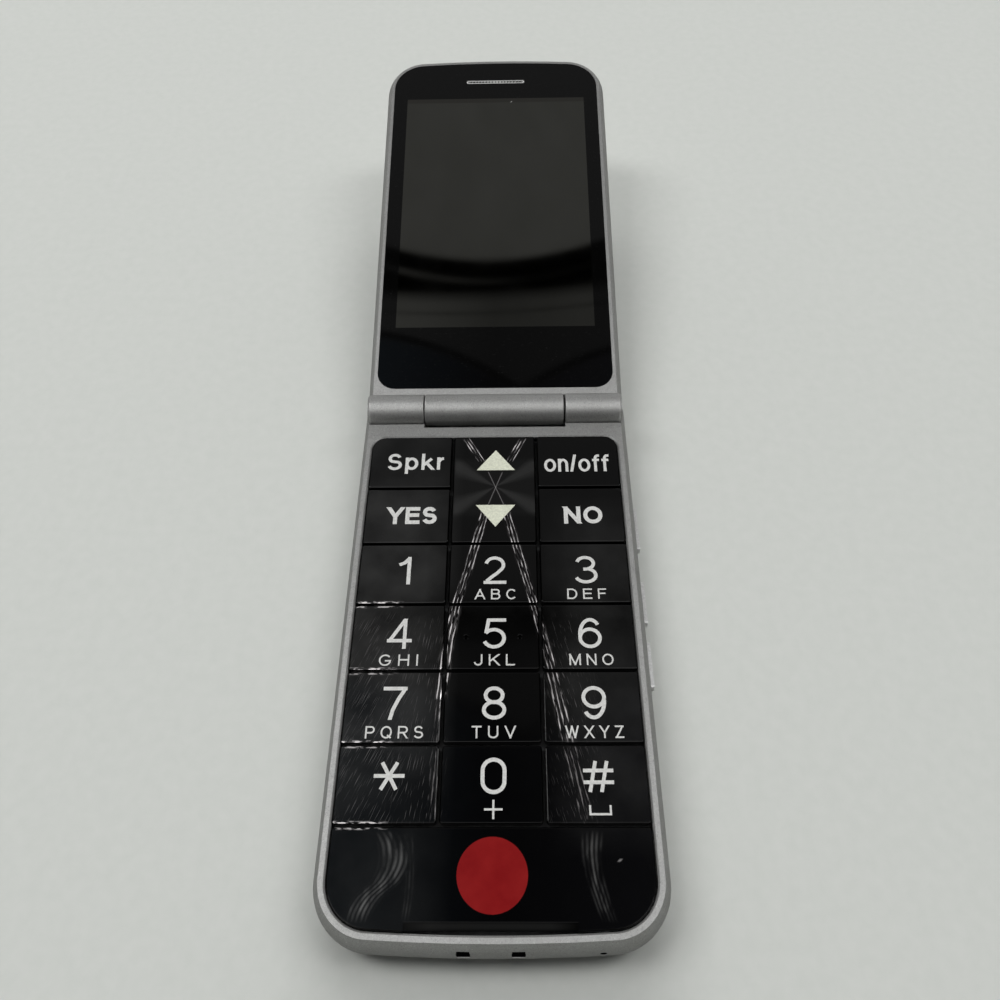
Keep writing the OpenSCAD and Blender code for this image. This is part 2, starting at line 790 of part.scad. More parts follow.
module microphone() color(steel)
    translate([mic_x - mic_w/2, keypad_end + mic_in, mic_z - mic_w/2])
        cube([mic_w, mic_t, mic_w]);

module charge_contacts() color(gold) for (side = [-1, 1])
    translate([side*slot_pitch/2 - slot_w/2 + contact_gap, keypad_end - rim_w + wall_gap, 0]) {
        translate([0, 0, slot_z - slot_h/2 + contact_gap])
            cube([slot_w - 2*contact_gap, rim_w - wall_gap, slot_h - 2*contact_gap]);
        translate([0, 0, board_top])
            cube([slot_w - 2*contact_gap, contact_leg, contact_t]);
    }

module usb_socket() color(bright)
    translate([-base_w/2 + usb_inset, usb_y, usb_z]) difference() {
        translate([0, -usb_w/2, -usb_h/2]) cube([usb_l, usb_w, usb_h]);
        translate([-over, usb_wall - usb_w/2, usb_wall - usb_h/2])
            cube([usb_l, usb_w - 2*usb_wall, usb_h - 2*usb_wall]);
    }

module antenna() color(soft_black) let (half = cavity_half - antenna_side) difference() {
    translate([-half, antenna_y, antenna_z])
        cube([2*half, antenna_l, bay_top - antenna_z]);
    translate([-half + antenna_groove, antenna_y + antenna_wall, antenna_z - over])
        cube([2*(half - antenna_groove), antenna_groove, over + bay_top - antenna_z - antenna_wall]);
}

module side_key_switches() color(steel) for (k = side_keys)
    translate([flange_x - flange_t - side_key_travel - switch_gap - switch_depth,
            k[0] - switch_l/2, board_z - spring_gap - switch_t])
        cube([switch_depth, switch_l, switch_t]);

module hinge_cartridge() color(steel) on_axis() difference() {
    rod(cartridge_r, outer_x0 - cartridge_l, outer_x0 - cartridge_gap);
    rod(cartridge_r - cartridge_wall, outer_x0 - cartridge_l + cartridge_cap,
        outer_x0 - cartridge_nose);
    rod(shaft_r + running_fit, outer_x0 - 2*cartridge_nose, outer_x0 + over);
}

module hinge_spring() color(bright) on_axis() difference() {
    rod(cartridge_r - cartridge_wall - spring_fit,
        outer_x0 - cartridge_l + cartridge_cap + spring_end,
        outer_x0 - cartridge_nose - cam_l - spring_end);
    rod(shaft_r + spring_bore, outer_x0 - cartridge_l, outer_x0);
}

module hinge_cam() color(gold) on_axis() difference() {
    rod(cartridge_r - cartridge_wall - cam_fit, outer_x0 - cartridge_nose - cam_l,
        outer_x0 - cartridge_nose - cartridge_gap);
    rod(shaft_r + running_fit, outer_x0 - cartridge_l, outer_x0);
}

module flex_roll(x0, x1) difference() {
    rod(flex_roll_r, x0, x1);
    rod(flex_roll_r - flex_t, x0 - over, x1 + over);
}

// Cable from the board up into the right knuckle: plug, riser, run, and its roll
module base_flex() color(flex_amber) {
    x0 = base_flex_x0;
    run_z = flex_slot_z + flex_slot_h/2;
    leg_y = cavity_y - flex_t - wall_gap;
    translate([x0, leg_y - plug_l - wall_gap, board_top]) cube([base_flex_w, plug_l, plug_h]);
    translate([x0, leg_y - 2*wall_gap, board_top + plug_h/2])
        cube([base_flex_w, 2*wall_gap + flex_t, flex_t]);
    translate([x0, leg_y, board_top + plug_h/2])
        cube([base_flex_w, flex_t, run_z + flex_t - board_top - plug_h/2]);
    translate([x0, leg_y, run_z]) cube([base_flex_w, hinge_y - flex_riser - leg_y, flex_t]);
    translate([x0, hinge_y - flex_riser - flex_t, run_z])
        cube([base_flex_w, flex_t, hinge_z - flex_riser - run_z + flex_t]);
    on_axis() flex_roll(x0, x0 + base_flex_w);
}

module housing_screws() color(steel) for (s = screws)
    translate([s[0], s[1], screw_z(s)]) screw(screw_top - screw_z(s));

// ---------------------------------------------------------------- lid

module lid_form() difference() {
    mirror([0, 1, 0]) translate([0, 0, lid_back_z])
        pillow(lid_rim_half, lid_rim_end, -lid_y0, lid_t, lid_belly_z, lid_flare,
            corner_r, bow_r);
    mirror([0, 1, 0]) translate([0, 0, lid_back_z]) edge_cut(lid_w, -lid_y0, lid_round);
    mirror([0, 1, 0]) translate([0, 0, lid_back_z])
        for (side = [0, 1]) mirror([side, 0, 0])
            corner_cut(lid_w/2, -lid_y0, hinge_round/2, lid_t);
}

module lid_cavity(z0, z1) translate([0, 0, z0]) linear_extrude(z1 - z0)
    lid_outline(lid_ledge);

module lid_bezel() color(silver) in_lid() difference() {
    intersection() {
        lid_form();
        translate([-lid_w, 0, lid_seam_z]) cube([2*lid_w, 2*base_l, lid_t]);
    }
    translate([0, 0, window_z]) linear_extrude(lid_t) lid_outline();
    // room inside, round the bosses of the screws
    difference() {
        lid_cavity(lid_back_z, 0);
        for (s = lid_screws_at) {
            translate([s[0], s[1], lid_back_z]) cylinder(r = boss_r, h = lid_boss_top - lid_back_z);
            translate([s[0] - boss_r, lid_window_y, lid_back_z])
                cube([2*boss_r, s[1] - lid_window_y, lid_boss_top - lid_back_z]);
        }
    }
    for (s = lid_screws_at) translate([s[0], s[1], lid_seam_z - over])
        cylinder(r = screw_r + screw_bite, h = lid_screw_top - lid_seam_z + over + screw_clear);
    lid_flex_slot();
}

// Slot that the cable takes from the middle knuckle into the lid
module lid_flex_slot() translate([lid_flex_x - flex_w/2, 0, lid_flex_z - flex_gap/2])
    cube([flex_w, lid_window_y + 2*over, flex_t + flex_gap]);

module lid_shell() color(silver) in_lid() difference() {
    union() {
        intersection() {
            lid_form();
            translate([-lid_w, 0, lid_back_z]) cube([2*lid_w, 2*base_l, lid_belly_z]);
        }
        // middle knuckle and the web that carries it
        knuckle(barrel_r, knuckle_x0, knuckle_x1, knuckle_edge, knuckle_edge);
        translate([knuckle_x0, 0, 0]) rotate([90, 0, 90]) linear_extrude(knuckle_x1 - knuckle_x0)
            polygon([[0, -web_top], [0, -barrel_r], [lid_y0 + over, lid_seam_z - web_drop],
                [lid_y0 + over, lid_seam_z], [lid_y0 - lid_clear, lid_seam_z],
                [lid_y0 - lid_clear, -web_top]]);
    }
    difference() {
        lid_cavity(lid_back_z + lid_wall, 0);
        for (s = lid_screws_at) {
            translate([s[0], s[1], lid_back_z]) cylinder(r = boss_r, h = lid_t);
            translate([s[0] - boss_r, lid_window_y, lid_back_z])
                cube([2*boss_r, s[1] - lid_window_y, lid_t]);
        }
    }
    // openings for the outer window and the camera
    translate([0, outer_y, lid_back_z - over]) {
        linear_extrude(outer_t + over + lid_clear)
            round_rect(outer_w + 2*lid_clear, outer_l + 2*lid_clear, outer_r);
        linear_extrude(lid_wall + 2*over)
            round_rect(outer_w - 2*outer_edge, outer_l - 2*outer_edge, outer_r - outer_edge);
    }
    translate([0, camera_y, lid_back_z - over]) {
        cylinder(r = camera_r + lid_clear, h = lens_t + over + lid_clear);
        cylinder(r = camera_r - camera_seat, h = lid_wall + 2*over);
    }
    // keyed socket for the shaft head on the left, bore for the sleeve on the right
    intersection() {
        rod(shaft_head_r + head_clear, knuckle_x0 - over, knuckle_x0 + shaft_head_l + head_clear);
        translate([knuckle_x0 - over, -barrel_r, -shaft_flat - head_clear])
            cube([shaft_head_l + 2*over, 2*barrel_r, 2*(shaft_flat + head_clear)]);
    }
    rod(sleeve_r + lid_clear, sleeve_x0 - lid_knuckle_room, knuckle_x1 + over);
    rod(flex_roll_r + flex_gap/2, lid_flex_x - flex_w/2, knuckle_x1 + over);
    lid_flex_slot();
    for (s = lid_screws_at) translate([s[0], s[1], lid_back_z - over]) {
        cylinder(r = screw_r + screw_clear, h = lid_t);
        cylinder(r = screw_head_r + screw_clear, h = screw_sink + screw_head_t + over);
    }
}

module display_window() color(gloss_black) in_lid() difference() {
    translate([0, 0, window_z + window_glue]) linear_extrude(lid_window_t - window_glue)
        lid_outline(lid_clear);
    translate([0, ear_slot_y, window_z - over]) linear_extrude(lid_window_t + 2*over)
        round_rect(ear_slot_l, ear_slot_w, ear_slot_w/2 - eps);
}

module display_module() color(screen_grey) in_lid()
    translate([-screen_w/2 - module_side, screen_y0 - module_low, module_z])
        cube([screen_w + 2*module_side, module_low + screen_y1 - screen_y0 + module_high,
            module_t]);

module earpiece_grille() color(bright) in_lid() translate([0, ear_slot_y, 0]) difference() {
    slab(ear_slot_l - 2*grille_clear, ear_slot_w - 2*grille_clear, grille_t,
        ear_slot_w/2 - grille_clear - eps, -lid_face - grille_sink - grille_t);
    for (i = [0 : grille_holes - 1])
        translate([(i - (grille_holes - 1)/2)*(ear_slot_l - over)/grille_holes, 0,
                -lid_window_t - over])
            cylinder(r = grille_hole_r, h = lid_window_t + 2*over);
}

module earpiece() color(steel) in_lid() translate([0, ear_slot_y - earpiece_drop, 0])
    slab(earpiece_w, earpiece_l, earpiece_t, earpiece_r, window_z - earpiece_gap - earpiece_t);

module lid_board() color(board_green) in_lid()
    translate([-screen_w/2, lid_board_y0, lid_board_z])
        cube([screen_w, lid_board_y1 - lid_board_y0, lid_board_t]);

module outer_window() color(gloss_black) in_lid() translate([0, outer_y, lid_back_z])
    linear_extrude(outer_t) round_rect(outer_w, outer_l, outer_r);

module outer_display() color(screen_grey) in_lid()
    translate([0, outer_y, 0])
        slab(outer_w - 2*outer_display_side, outer_l - 2*outer_display_side, outer_display_t,
            least_r, outer_display_z);

module camera_module() color(soft_black) in_lid() translate([0, camera_y, 0]) {
    slab(camera_w, camera_w, camera_t, least_r, lid_back_z + lid_wall + module_gap);
    translate([0, 0, lid_back_z + lens_t + module_gap])
        cylinder(r = camera_barrel_r, h = lid_wall - lens_t + module_gap);
}

module camera_lens() color(gloss_black) in_lid() translate([0, camera_y, lid_back_z])
    cylinder(r = camera_r, h = lens_t);

module lid_magnet() color(steel) in_lid()
    translate([magnet_x, lid_window_end - magnet_edge, lid_back_z + lid_wall])
        cube(magnet_size);

module hinge_shaft() color(steel) in_lid() {
    rod(shaft_r, outer_x0 - cartridge_l + shaft_end, knuckle_x0 + over);
    intersection() {
        rod(shaft_head_r, knuckle_x0 + lid_clear, knuckle_x0 + shaft_head_l);
        translate([knuckle_x0, -barrel_r, -shaft_flat])
            cube([shaft_head_l, 2*barrel_r, 2*shaft_flat]);
    }
}

module hinge_sleeve() color(steel) in_lid() difference() {
    rod(sleeve_r, sleeve_x0, sleeve_x1);
    rod(sleeve_r - sleeve_wall, 0, barrel_l);
}

// Cable from the knuckle to the lid's board: its roll, run, leg and plug
module lid_flex() color(flex_amber) in_lid() {
    w = flex_w - flex_gap;
    board_face = lid_board_z + lid_board_t;
    flex_roll(lid_flex_x - w/2, sleeve_x1);
    translate([lid_flex_x - w/2, 0, lid_flex_z]) cube([w, lid_flex_plug_y, flex_t]);
    translate([lid_flex_x - w/2, lid_flex_plug_y - flex_t, board_face])
        cube([w, flex_t, lid_flex_z + flex_t - board_face]);
    translate([lid_flex_x - w/2, lid_flex_plug_y - flex_t, board_face]) cube([w, plug_l, plug_h]);
}

module lid_screws() color(steel) in_lid() for (s = lid_screws_at)
    translate([s[0], s[1], lid_back_z + screw_sink])
        screw(lid_screw_top - lid_back_z - screw_sink);

// ---------------------------------------------------------------- keys

// Insets and heights of a key's rings, from its foot to its bevelled top
key_levels = [[0, key_bottom_z], [0, key_top_z - key_bevel],
    [key_bevel*bevel_share, key_top_z - key_bevel*bevel_share], [key_bevel, key_top_z]];

function ring_steps(r) = r > 2*key_corner_r ? large_steps : small_steps;

// Corner arc of a key's ring, drawn in by d
function key_corner(x, y, r, a0, a1, d) = arc(x, y, r - d, a0, a1, ring_steps(r));

// Ring between x0, x1, y0 and y1 with the corner radii of its upper left and upper right
function key_ring(x0, x1, y0, y1, left_r, right_r, d) = concat(
    key_corner(x1 - key_corner_r, y0 + key_corner_r, key_corner_r, -90, 0, d),
    key_corner(x1 - right_r, y1 - right_r, right_r, 0, 90, d),
    key_corner(x0 + left_r, y1 - left_r, left_r, 90, 180, d),
    key_corner(x0 + key_corner_r, y0 + key_corner_r, key_corner_r, 180, 270, d));

// Solid through rings of as many points each, at the key's levels
module key_block(rings) {
    n = len(rings[0]);
    last = len(rings) - 1;
    polyhedron(
        points = [for (k = [0 : last], p = rings[k]) [p[0], p[1], key_levels[k][1]]],
        faces = concat([[for (i = [0 : n - 1]) i]], [[for (i = [n - 1 : -1 : 0]) last*n + i]],
            [for (k = [0 : last - 1], i = [0 : n - 1]) let (j = (i + 1) % n)
                [k*n + i, (k + 1)*n + i, (k + 1)*n + j, k*n + j]]));
}

// Sides of a key: beside its neighbours by half a gap, beside the window's edge by key_clear
function key_x0(c) = c == 0 ? -keypad_w/2 + key_clear : col_x[c] - (col_pitch - key_gap)/2;
function key_x1(c) = c == 2 ? keypad_w/2 - key_clear : col_x[c] + (col_pitch - key_gap)/2;
function key_y0(r) = row_y1(r) + key_gap/2;
function key_y1(r) = r == 0 ? keypad_top - key_clear : row_y0(r) - key_gap/2;
function end_r(c, r, edge) = r == 0 && c == edge ? window_top_r - key_clear : key_corner_r;

// The key of column c that reaches from row r down to row r1
module key(c, r, r1) color(gloss_black) key_block([for (l = key_levels)
    key_ring(key_x0(c), key_x1(c), key_y0(r1), key_y1(r), end_r(c, r, 0), end_r(c, r, 2), l[0])]);

module key_speaker() key(0, 0, 0);
module key_power() key(2, 0, 0);
module key_yes() key(0, 1, 1);
module key_no() key(2, 1, 1);
module key_1() key(0, 2, 2);
module key_2() key(1, 2, 2);
module key_3() key(2, 2, 2);
module key_4() key(0, 3, 3);
module key_6() key(2, 3, 3);
module key_7() key(0, 4, 4);
module key_8() key(1, 4, 4);
module key_9() key(2, 4, 4);
module key_star() key(0, 5, 5);
module key_0() key(1, 5, 5);
module key_hash() key(2, 5, 5);

// The nav rocker fills two rows of the middle column
module key_nav() key(1, 0, 1);

// The middle key has a pip each side of its figure
module key_5() {
    key(1, 3, 3);
    color(gloss_black) for (side = [-1, 1])
        translate([side*pip_x, row_mid(3), key_top_z]) cylinder(r1 = pip_r, r2 = pip_r/2, h = pip_h);
}

// Ring of the full-width key: the window's own corners and bow at its lower side
function call_ring(d) = let (half = keypad_w/2 - key_clear, end = -keypad_end - key_clear,
    r = corner_r - rim_w - key_clear, bow = bow_r - rim_w - key_clear,
    turn = bow_angle(half, r, bow), cy = corner_y(half, end, r, bow), top = key_y1(6),
    bow_arc = arc(0, bow_centre(end, bow), bow - d, 270 - turn, 270 + turn, bow_steps))
    concat(key_corner(half - r, cy, r, turn - 90, 0, d),
        key_corner(half - key_corner_r, top - key_corner_r, key_corner_r, 0, 90, d),
        key_corner(key_corner_r - half, top - key_corner_r, key_corner_r, 90, 180, d),
        key_corner(r - half, cy, r, 180, 270 - turn, d),
        [for (i = [1 : bow_steps - 1]) bow_arc[i]]);

// Cut that leaves a finger lip at the foot of the full-width key: a slope down to a gap
module lip_cut() let (foot = keypad_end + key_clear)
    translate([-lip_w/2, 0, 0]) rotate([90, 0, 90]) linear_extrude(lip_w) polygon([
        [foot - over, key_bottom_z - over], [foot + lip_gap, key_bottom_z - over],
        [foot + lip_gap, key_top_z - lip_drop], [foot + lip_l, key_top_z],
        [foot + lip_l, key_top_z + over], [foot - over, key_top_z + over]]);

// The full-width key with its finger lip, and its coloured disc flush in a pocket
module key_call() {
    color(gloss_black) difference() {
        key_block([for (l = key_levels) call_ring(l[0])]);
        lip_cut();
        translate([0, row_mid(6), key_top_z - disc_t]) cylinder(d = disc_d, h = disc_t + over);
    }
    color(signal_red) translate([0, row_mid(6), key_top_z - disc_t])
        cylinder(d = disc_d, h = disc_t);
}

// A side key: the bar that shows and the flange that holds it inside the wall
module side_key(k) color(bright) {
    translate([flange_x - eps, k[0], side_key_z]) rotate([0, 90, 0])
        linear_extrude(side_key_x - flange_x + eps)
            round_rect(side_key_h, k[1], side_key_round);
    translate([flange_x - flange_t, k[0] - k[1]/2 - flange_over, side_key_z - side_key_h/2])
        cube([flange_t, k[1] + 2*flange_over, side_key_h - flange_drop]);
}

module side_key_upper() side_key(side_keys[0]);
module side_key_middle() side_key(side_keys[1]);
module side_key_lower() side_key(side_keys[2]);

// ---------------------------------------------------------------- assembly

front_housing();
rear_housing();
battery_cover();
battery();
battery_contacts();
main_board();
keypad_membrane();
key_domes();
shield_cans();
sim_holder();
loudspeaker();
vibration_motor();
microphone();
charge_contacts();
usb_socket();
antenna();
side_key_switches();
hinge_cartridge();
hinge_spring();
hinge_cam();
base_flex();
housing_screws();
lid_bezel();
lid_shell();
display_window();
display_module();
earpiece_grille();
earpiece();
lid_board();
outer_window();
outer_display();
camera_module();
camera_lens();
lid_magnet();
hinge_shaft();
hinge_sleeve();
lid_flex();
lid_screws();
key_speaker();
key_nav();
key_power();
key_yes();
key_no();
key_1();
key_2();
key_3();
key_4();
key_5();
key_6();
key_7();
key_8();
key_9();
key_star();
key_0();
key_hash();
key_call();
side_key_upper();
side_key_middle();
side_key_lower();
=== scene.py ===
"""Looks of a clamshell phone that lies open on a pale table. Metres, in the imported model's frame."""
import json
import math

import bmesh
import bpy
from mathutils import Matrix, Vector


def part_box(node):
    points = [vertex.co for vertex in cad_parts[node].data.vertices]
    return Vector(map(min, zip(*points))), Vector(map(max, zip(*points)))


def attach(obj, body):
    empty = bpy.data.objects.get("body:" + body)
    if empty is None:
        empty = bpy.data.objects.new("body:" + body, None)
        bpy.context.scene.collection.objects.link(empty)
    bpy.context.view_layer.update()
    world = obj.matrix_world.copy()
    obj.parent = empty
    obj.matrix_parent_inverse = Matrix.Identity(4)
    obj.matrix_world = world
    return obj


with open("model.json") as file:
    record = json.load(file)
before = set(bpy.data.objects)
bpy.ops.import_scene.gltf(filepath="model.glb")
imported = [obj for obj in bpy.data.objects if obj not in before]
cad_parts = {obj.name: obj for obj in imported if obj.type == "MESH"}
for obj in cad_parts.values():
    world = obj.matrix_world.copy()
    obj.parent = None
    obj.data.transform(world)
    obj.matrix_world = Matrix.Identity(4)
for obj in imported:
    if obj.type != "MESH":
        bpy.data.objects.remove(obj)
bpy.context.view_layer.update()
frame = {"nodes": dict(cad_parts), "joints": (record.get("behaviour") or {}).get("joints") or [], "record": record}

MM = 0.001
NODES = frame["nodes"]
# The open lid's slope, and where it is hinged
LID_TILT = math.radians(11.8)
HINGE_AT = Vector(frame["joints"][0]["pos_m"])

# ---------------------------------------------------------------- node trees

class Nodes:
    """Short calls for building the node trees of the materials and the world."""

    def __init__(self, tree):
        self.tree = tree

    def add(self, kind, **props):
        node = self.tree.nodes.new(kind)
        for key, value in props.items():
            setattr(node, key, value)
        return node

    def link(self, value, socket):
        """Connects a socket, or sets a plain value or colour."""
        if isinstance(value, bpy.types.NodeSocket):
            self.tree.links.new(value, socket)
        elif isinstance(value, tuple) and socket.type == "RGBA":
            socket.default_value = (*value, 1)
        else:
            socket.default_value = value

    def feed(self, node, **inputs):
        """Inputs by name, with _ for a space, or by number as i0, i1 and so on."""
        for key, value in inputs.items():
            index = int(key[1:]) if key[1:].isdigit() else key.replace("_", " ")
            self.link(value, node.inputs[index])
        return node

    def math(self, operation, a, b=0.0):
        node = self.add("ShaderNodeMath", operation=operation)
        return self.feed(node, i0=a, i1=b).outputs[0]

    def times(self, first, *others):
        for other in others:
            first = self.math("MULTIPLY", first, other)
        return first

    def plus(self, first, *others):
        for other in others:
            first = self.math("ADD", first, other)
        return first

    def off(self, value, middle):
        """Distance of a value from its middle."""
        return self.math("ABSOLUTE", self.math("SUBTRACT", value, middle))

    def reach(self, x, y, at):
        """Distance of the point (x, y) from another."""
        squares = [self.math("POWER", self.off(value, middle), 2.0) for value, middle in zip((x, y), at)]
        return self.math("SQRT", self.plus(*squares))

    def from_line(self, value, gap):
        """Distance of a value from the nearest multiple of a gap."""
        return self.math("PINGPONG", value, gap / 2)

    def range(self, value, low, high, to_low=0.0, to_high=1.0):
        node = self.add("ShaderNodeMapRange")
        self.feed(node, Value=value, From_Min=low, From_Max=high, To_Min=to_low, To_Max=to_high)
        return node.outputs["Result"]

    def between(self, value, low, high, fade):
        """1 between two values, fading to 0 at both."""
        return self.times(self.range(value, low, low + fade), self.range(value, high - fade, high, 1, 0))

    def split(self, vector):
        node = self.feed(self.add("ShaderNodeSeparateXYZ"), Vector=vector)
        return node.outputs["X"], node.outputs["Y"], node.outputs["Z"]

    def ramp(self, fac, stops):
        node = self.add("ShaderNodeValToRGB")
        band = node.color_ramp
        for index, (at, colour) in enumerate(stops):
            stop = band.elements[index] if index < 2 else band.elements.new(at)
            stop.position = at
            stop.color = (*colour, 1) if isinstance(colour, tuple) else (colour, colour, colour, 1)
        return self.feed(node, Fac=fac).outputs["Color"]

    def mix(self, fac, a, b, blend="MIX"):
        node = self.add("ShaderNodeMix", data_type="RGBA", blend_type=blend)
        for socket, value in zip([s for s in node.inputs if s.enabled], (fac, a, b)):
            self.link(value, socket)
        return [s for s in node.outputs if s.enabled][0]

    def tint(self, a, b):
        """One colour or grey times another."""
        return self.mix(1.0, a, b, "MULTIPLY")


# A course's across values lie within this span in mm, with 0 in its middle
COURSE_SPAN = 60
# Marks on the keys, in mm: a dash of a painted sheen streak, how far marks fade at their ends, a scratch's width
DASH_ACROSS, DASH_ALONG = 0.3, 2.6
SHEEN_STREAK_FADE, SHEEN_BAND_FADE, STROKE_FADE = 1.0, 2.0, 0.4
SCRATCH_ACROSS = 0.12


class Paint(Nodes):
    """A Principled material whose patterns lie in the object's own millimetres."""

    def __init__(self, name, **values):
        self.material = bpy.data.materials.new(name)
        self.material.use_nodes = True
        super().__init__(self.material.node_tree)
        self.shader = self.tree.nodes["Principled BSDF"]
        self.place = self.add("ShaderNodeTexCoord").outputs["Object"]
        for key, value in values.items():
            self.set(key.replace("_", " ").title().replace("Ior", "IOR"), value)

    def set(self, name, value):
        self.link(value, self.shader.inputs[name])

    def shade_flat(self):
        """Shades each face by its own direction, so that flat tops mirror without a bend."""
        self.set("Normal", self.add("ShaderNodeNewGeometry").outputs["True Normal"])

    def grain(self, size, turn=0.0, detail=2):
        """Noise whose features measure size in mm along x, y and z, turned about Z."""
        node = self.add("ShaderNodeMapping", vector_type="TEXTURE")
        size = size if isinstance(size, tuple) else (size, size, size)
        self.feed(node, Vector=self.place, Rotation=(0, 0, turn), Scale=tuple(s * MM for s in size))
        noise = self.add("ShaderNodeTexNoise")
        self.feed(noise, Vector=node.outputs["Vector"], Scale=1.0, Detail=detail)
        return noise.outputs["Fac"]

    def flecks(self, size):
        """Random grey of small cells of a size in mm."""
        node = self.feed(self.add("ShaderNodeTexVoronoi"), Vector=self.place, Scale=1 / (size * MM))
        return node.outputs["Color"]

    def millimetres(self):
        """x and y in mm."""
        x, y, _ = self.split(self.place)
        return self.times(x, 1 / MM), self.times(y, 1 / MM)

    def on_lid(self, centre):
        """x and y in mm from a centre, along the face of the open lid."""
        turned = self.add("ShaderNodeVectorRotate", rotation_type="X_AXIS")
        self.feed(turned, Vector=self.place, Center=centre, Angle=-LID_TILT)
        x, y, _ = self.split(turned.outputs["Vector"])
        return [self.times(self.math("SUBTRACT", value, middle), 1 / MM)
                for value, middle in ((x, centre.x), (y, centre.y))]

    def course(self, along, points, handle="VECTOR"):
        """A line through (along, across) points in mm, the lowest along first."""
        low, high = points[0][0], points[-1][0]
        node = self.add("ShaderNodeFloatCurve")
        curve = node.mapping.curves[0]
        spots = [((at - low) / (high - low), across / COURSE_SPAN + 0.5) for at, across in points]
        curve.points[0].location, curve.points[1].location = spots[0], spots[-1]
        for spot in spots[1:-1]:
            curve.points.new(*spot)
        for point in curve.points:
            point.handle_type = handle
        node.mapping.update()
        self.feed(node, Value=self.range(along, low, high))
        return self.times(self.math("SUBTRACT", node.outputs["Value"], 0.5), COURSE_SPAN)

    def threads(self, x, y, points, half, gap):
        """A bundle of fine broken bright lines along a course, gap apart and half wide to each side: painted sheen
        streaks.
        """
        aside = self.math("SUBTRACT", x, self.course(y, points))
        edge = self.range(self.math("ABSOLUTE", aside), half * 0.7, half, 1, 0)
        core, rim, dim = gap * 0.07, gap * 0.22, 0.04
        line = self.range(self.from_line(aside, gap), core, rim, 1, dim)
        spot = self.add("ShaderNodeCombineXYZ")
        self.feed(spot, X=self.times(aside, 1 / DASH_ACROSS), Y=self.times(y, 1 / DASH_ALONG))
        noise = self.feed(self.add("ShaderNodeTexNoise"), Vector=spot.outputs[0], Scale=1.0, Detail=2.0)
        dash = self.range(noise.outputs["Fac"], 0.46, 0.64, 0, 1.3)
        return self.times(edge, line, dash, self.between(y, points[0][0], points[-1][0], SHEEN_STREAK_FADE))

    def sheen_bands(self, x, y, points, half, gap):
        """Soft parallel bands of painted sheen along a smooth course, brightest in its middle, narrower at its low
        end.
        """
        low, high = points[0][0], points[-1][0]
        aside = self.math("SUBTRACT", x, self.course(y, points, "AUTO"))
        aside = self.times(aside, self.range(y, low, high, 1.5, 1.0))
        edge = self.range(self.math("ABSOLUTE", aside), 0, half, 1, 0)
        core, rim, dim = gap * 0.05, gap * 0.4, 0.12
        wave = self.range(self.from_line(aside, gap), core, rim, 1, dim)
        cloud = self.range(self.grain((1.5, 5, 1), detail=3), 0.4, 0.62, 0.1, 1.2)
        return self.times(edge, wave, cloud, self.between(y, low, high, SHEEN_BAND_FADE))

    def stroke(self, x, y, a, b, half):
        """A thin straight line from point a to point b, the lower first."""
        aside = self.math("ABSOLUTE", self.math("SUBTRACT", x, self.course(y, [a[::-1], b[::-1]])))
        ends = self.between(y, a[1], b[1], STROKE_FADE)
        return self.times(self.range(aside, half * 0.4, half, 1, 0), ends)

    def streaks(self, lean, along, least):
        """Fine scratches that all lean the same way, where the noise is above a least value."""
        noise = self.grain((SCRATCH_ACROSS, along, 1.0), turn=lean, detail=1)
        return self.range(noise, least, least + 0.1)

    def bump(self, height, distance, strength):
        node = self.add("ShaderNodeBump")
        self.feed(node, Height=height, Distance=distance, Strength=strength)
        self.set("Normal", node.outputs["Normal"])


# ---------------------------------------------------------------- camera, light and table

CAMERA_AT = Vector((3.887, -63.31, 148.43)) * MM
CAMERA_RIGHT = Vector((0.999843, 0.003143, -0.017440))
CAMERA_AHEAD = Vector((-0.016324, 0.546336, -0.837407))
FOCAL_PIXELS = 821.8
FRAME_PIXELS = 1000
SENSOR_MM = 36


def make_camera():
    data = bpy.data.cameras.new("camera")
    data.sensor_width = SENSOR_MM
    data.lens = FOCAL_PIXELS / FRAME_PIXELS * SENSOR_MM
    data.clip_start = 0.005
    camera = bpy.data.objects.new("camera", data)
    up = CAMERA_RIGHT.cross(CAMERA_AHEAD)
    turn = Matrix((CAMERA_RIGHT, up, -CAMERA_AHEAD)).transposed()
    camera.matrix_world = Matrix.Translation(CAMERA_AT) @ turn.to_4x4()
    bpy.context.scene.collection.objects.link(camera)
    bpy.context.scene.camera = camera


SIDE_BOX, BACK_BOX = (0.35, 0.6), (2.6, 0.6)
LIGHTS_AIM = Vector((0, 0.03, 0))


def area_light(name, at, size, watts):
    """A rectangular lamp of a width and height that faces the middle of the phone."""
    data = bpy.data.lights.new(name, "AREA")
    data.shape = "RECTANGLE"
    data.size, data.size_y = size
    data.energy = watts
    lamp = bpy.data.objects.new(name, data)
    turn = (Vector(at) - LIGHTS_AIM).to_track_quat("Z", "Y").to_matrix()
    lamp.matrix_world = Matrix.Translation(at) @ turn.to_4x4()
    bpy.context.scene.collection.objects.link(lamp)
    return lamp


def make_lights():
    """Soft boxes high on both sides, the left one stronger, and a wide one far behind the phone, which
    gloss doesn't mirror."""
    area_light("left_box", (-0.6, 0.2, 1.0), SIDE_BOX, 4.2)
    area_light("right_box", (0.6, 0.2, 1.0), SIDE_BOX, 3.05)
    back = area_light("back_box", (-0.1, 2.4, 1.6), BACK_BOX, 29.0)
    back.visible_glossy = False


# The world by direction: x, y and z are those of a unit vector, and brightness 1 is white.
# What the camera sees, and the sky that lights matt finishes, brighter towards the back
ROOM = (0.64, 0.66, 0.64)
SKY_Y, SKY_GLOW = (-0.2, 0.9), (0.02, 1.15)
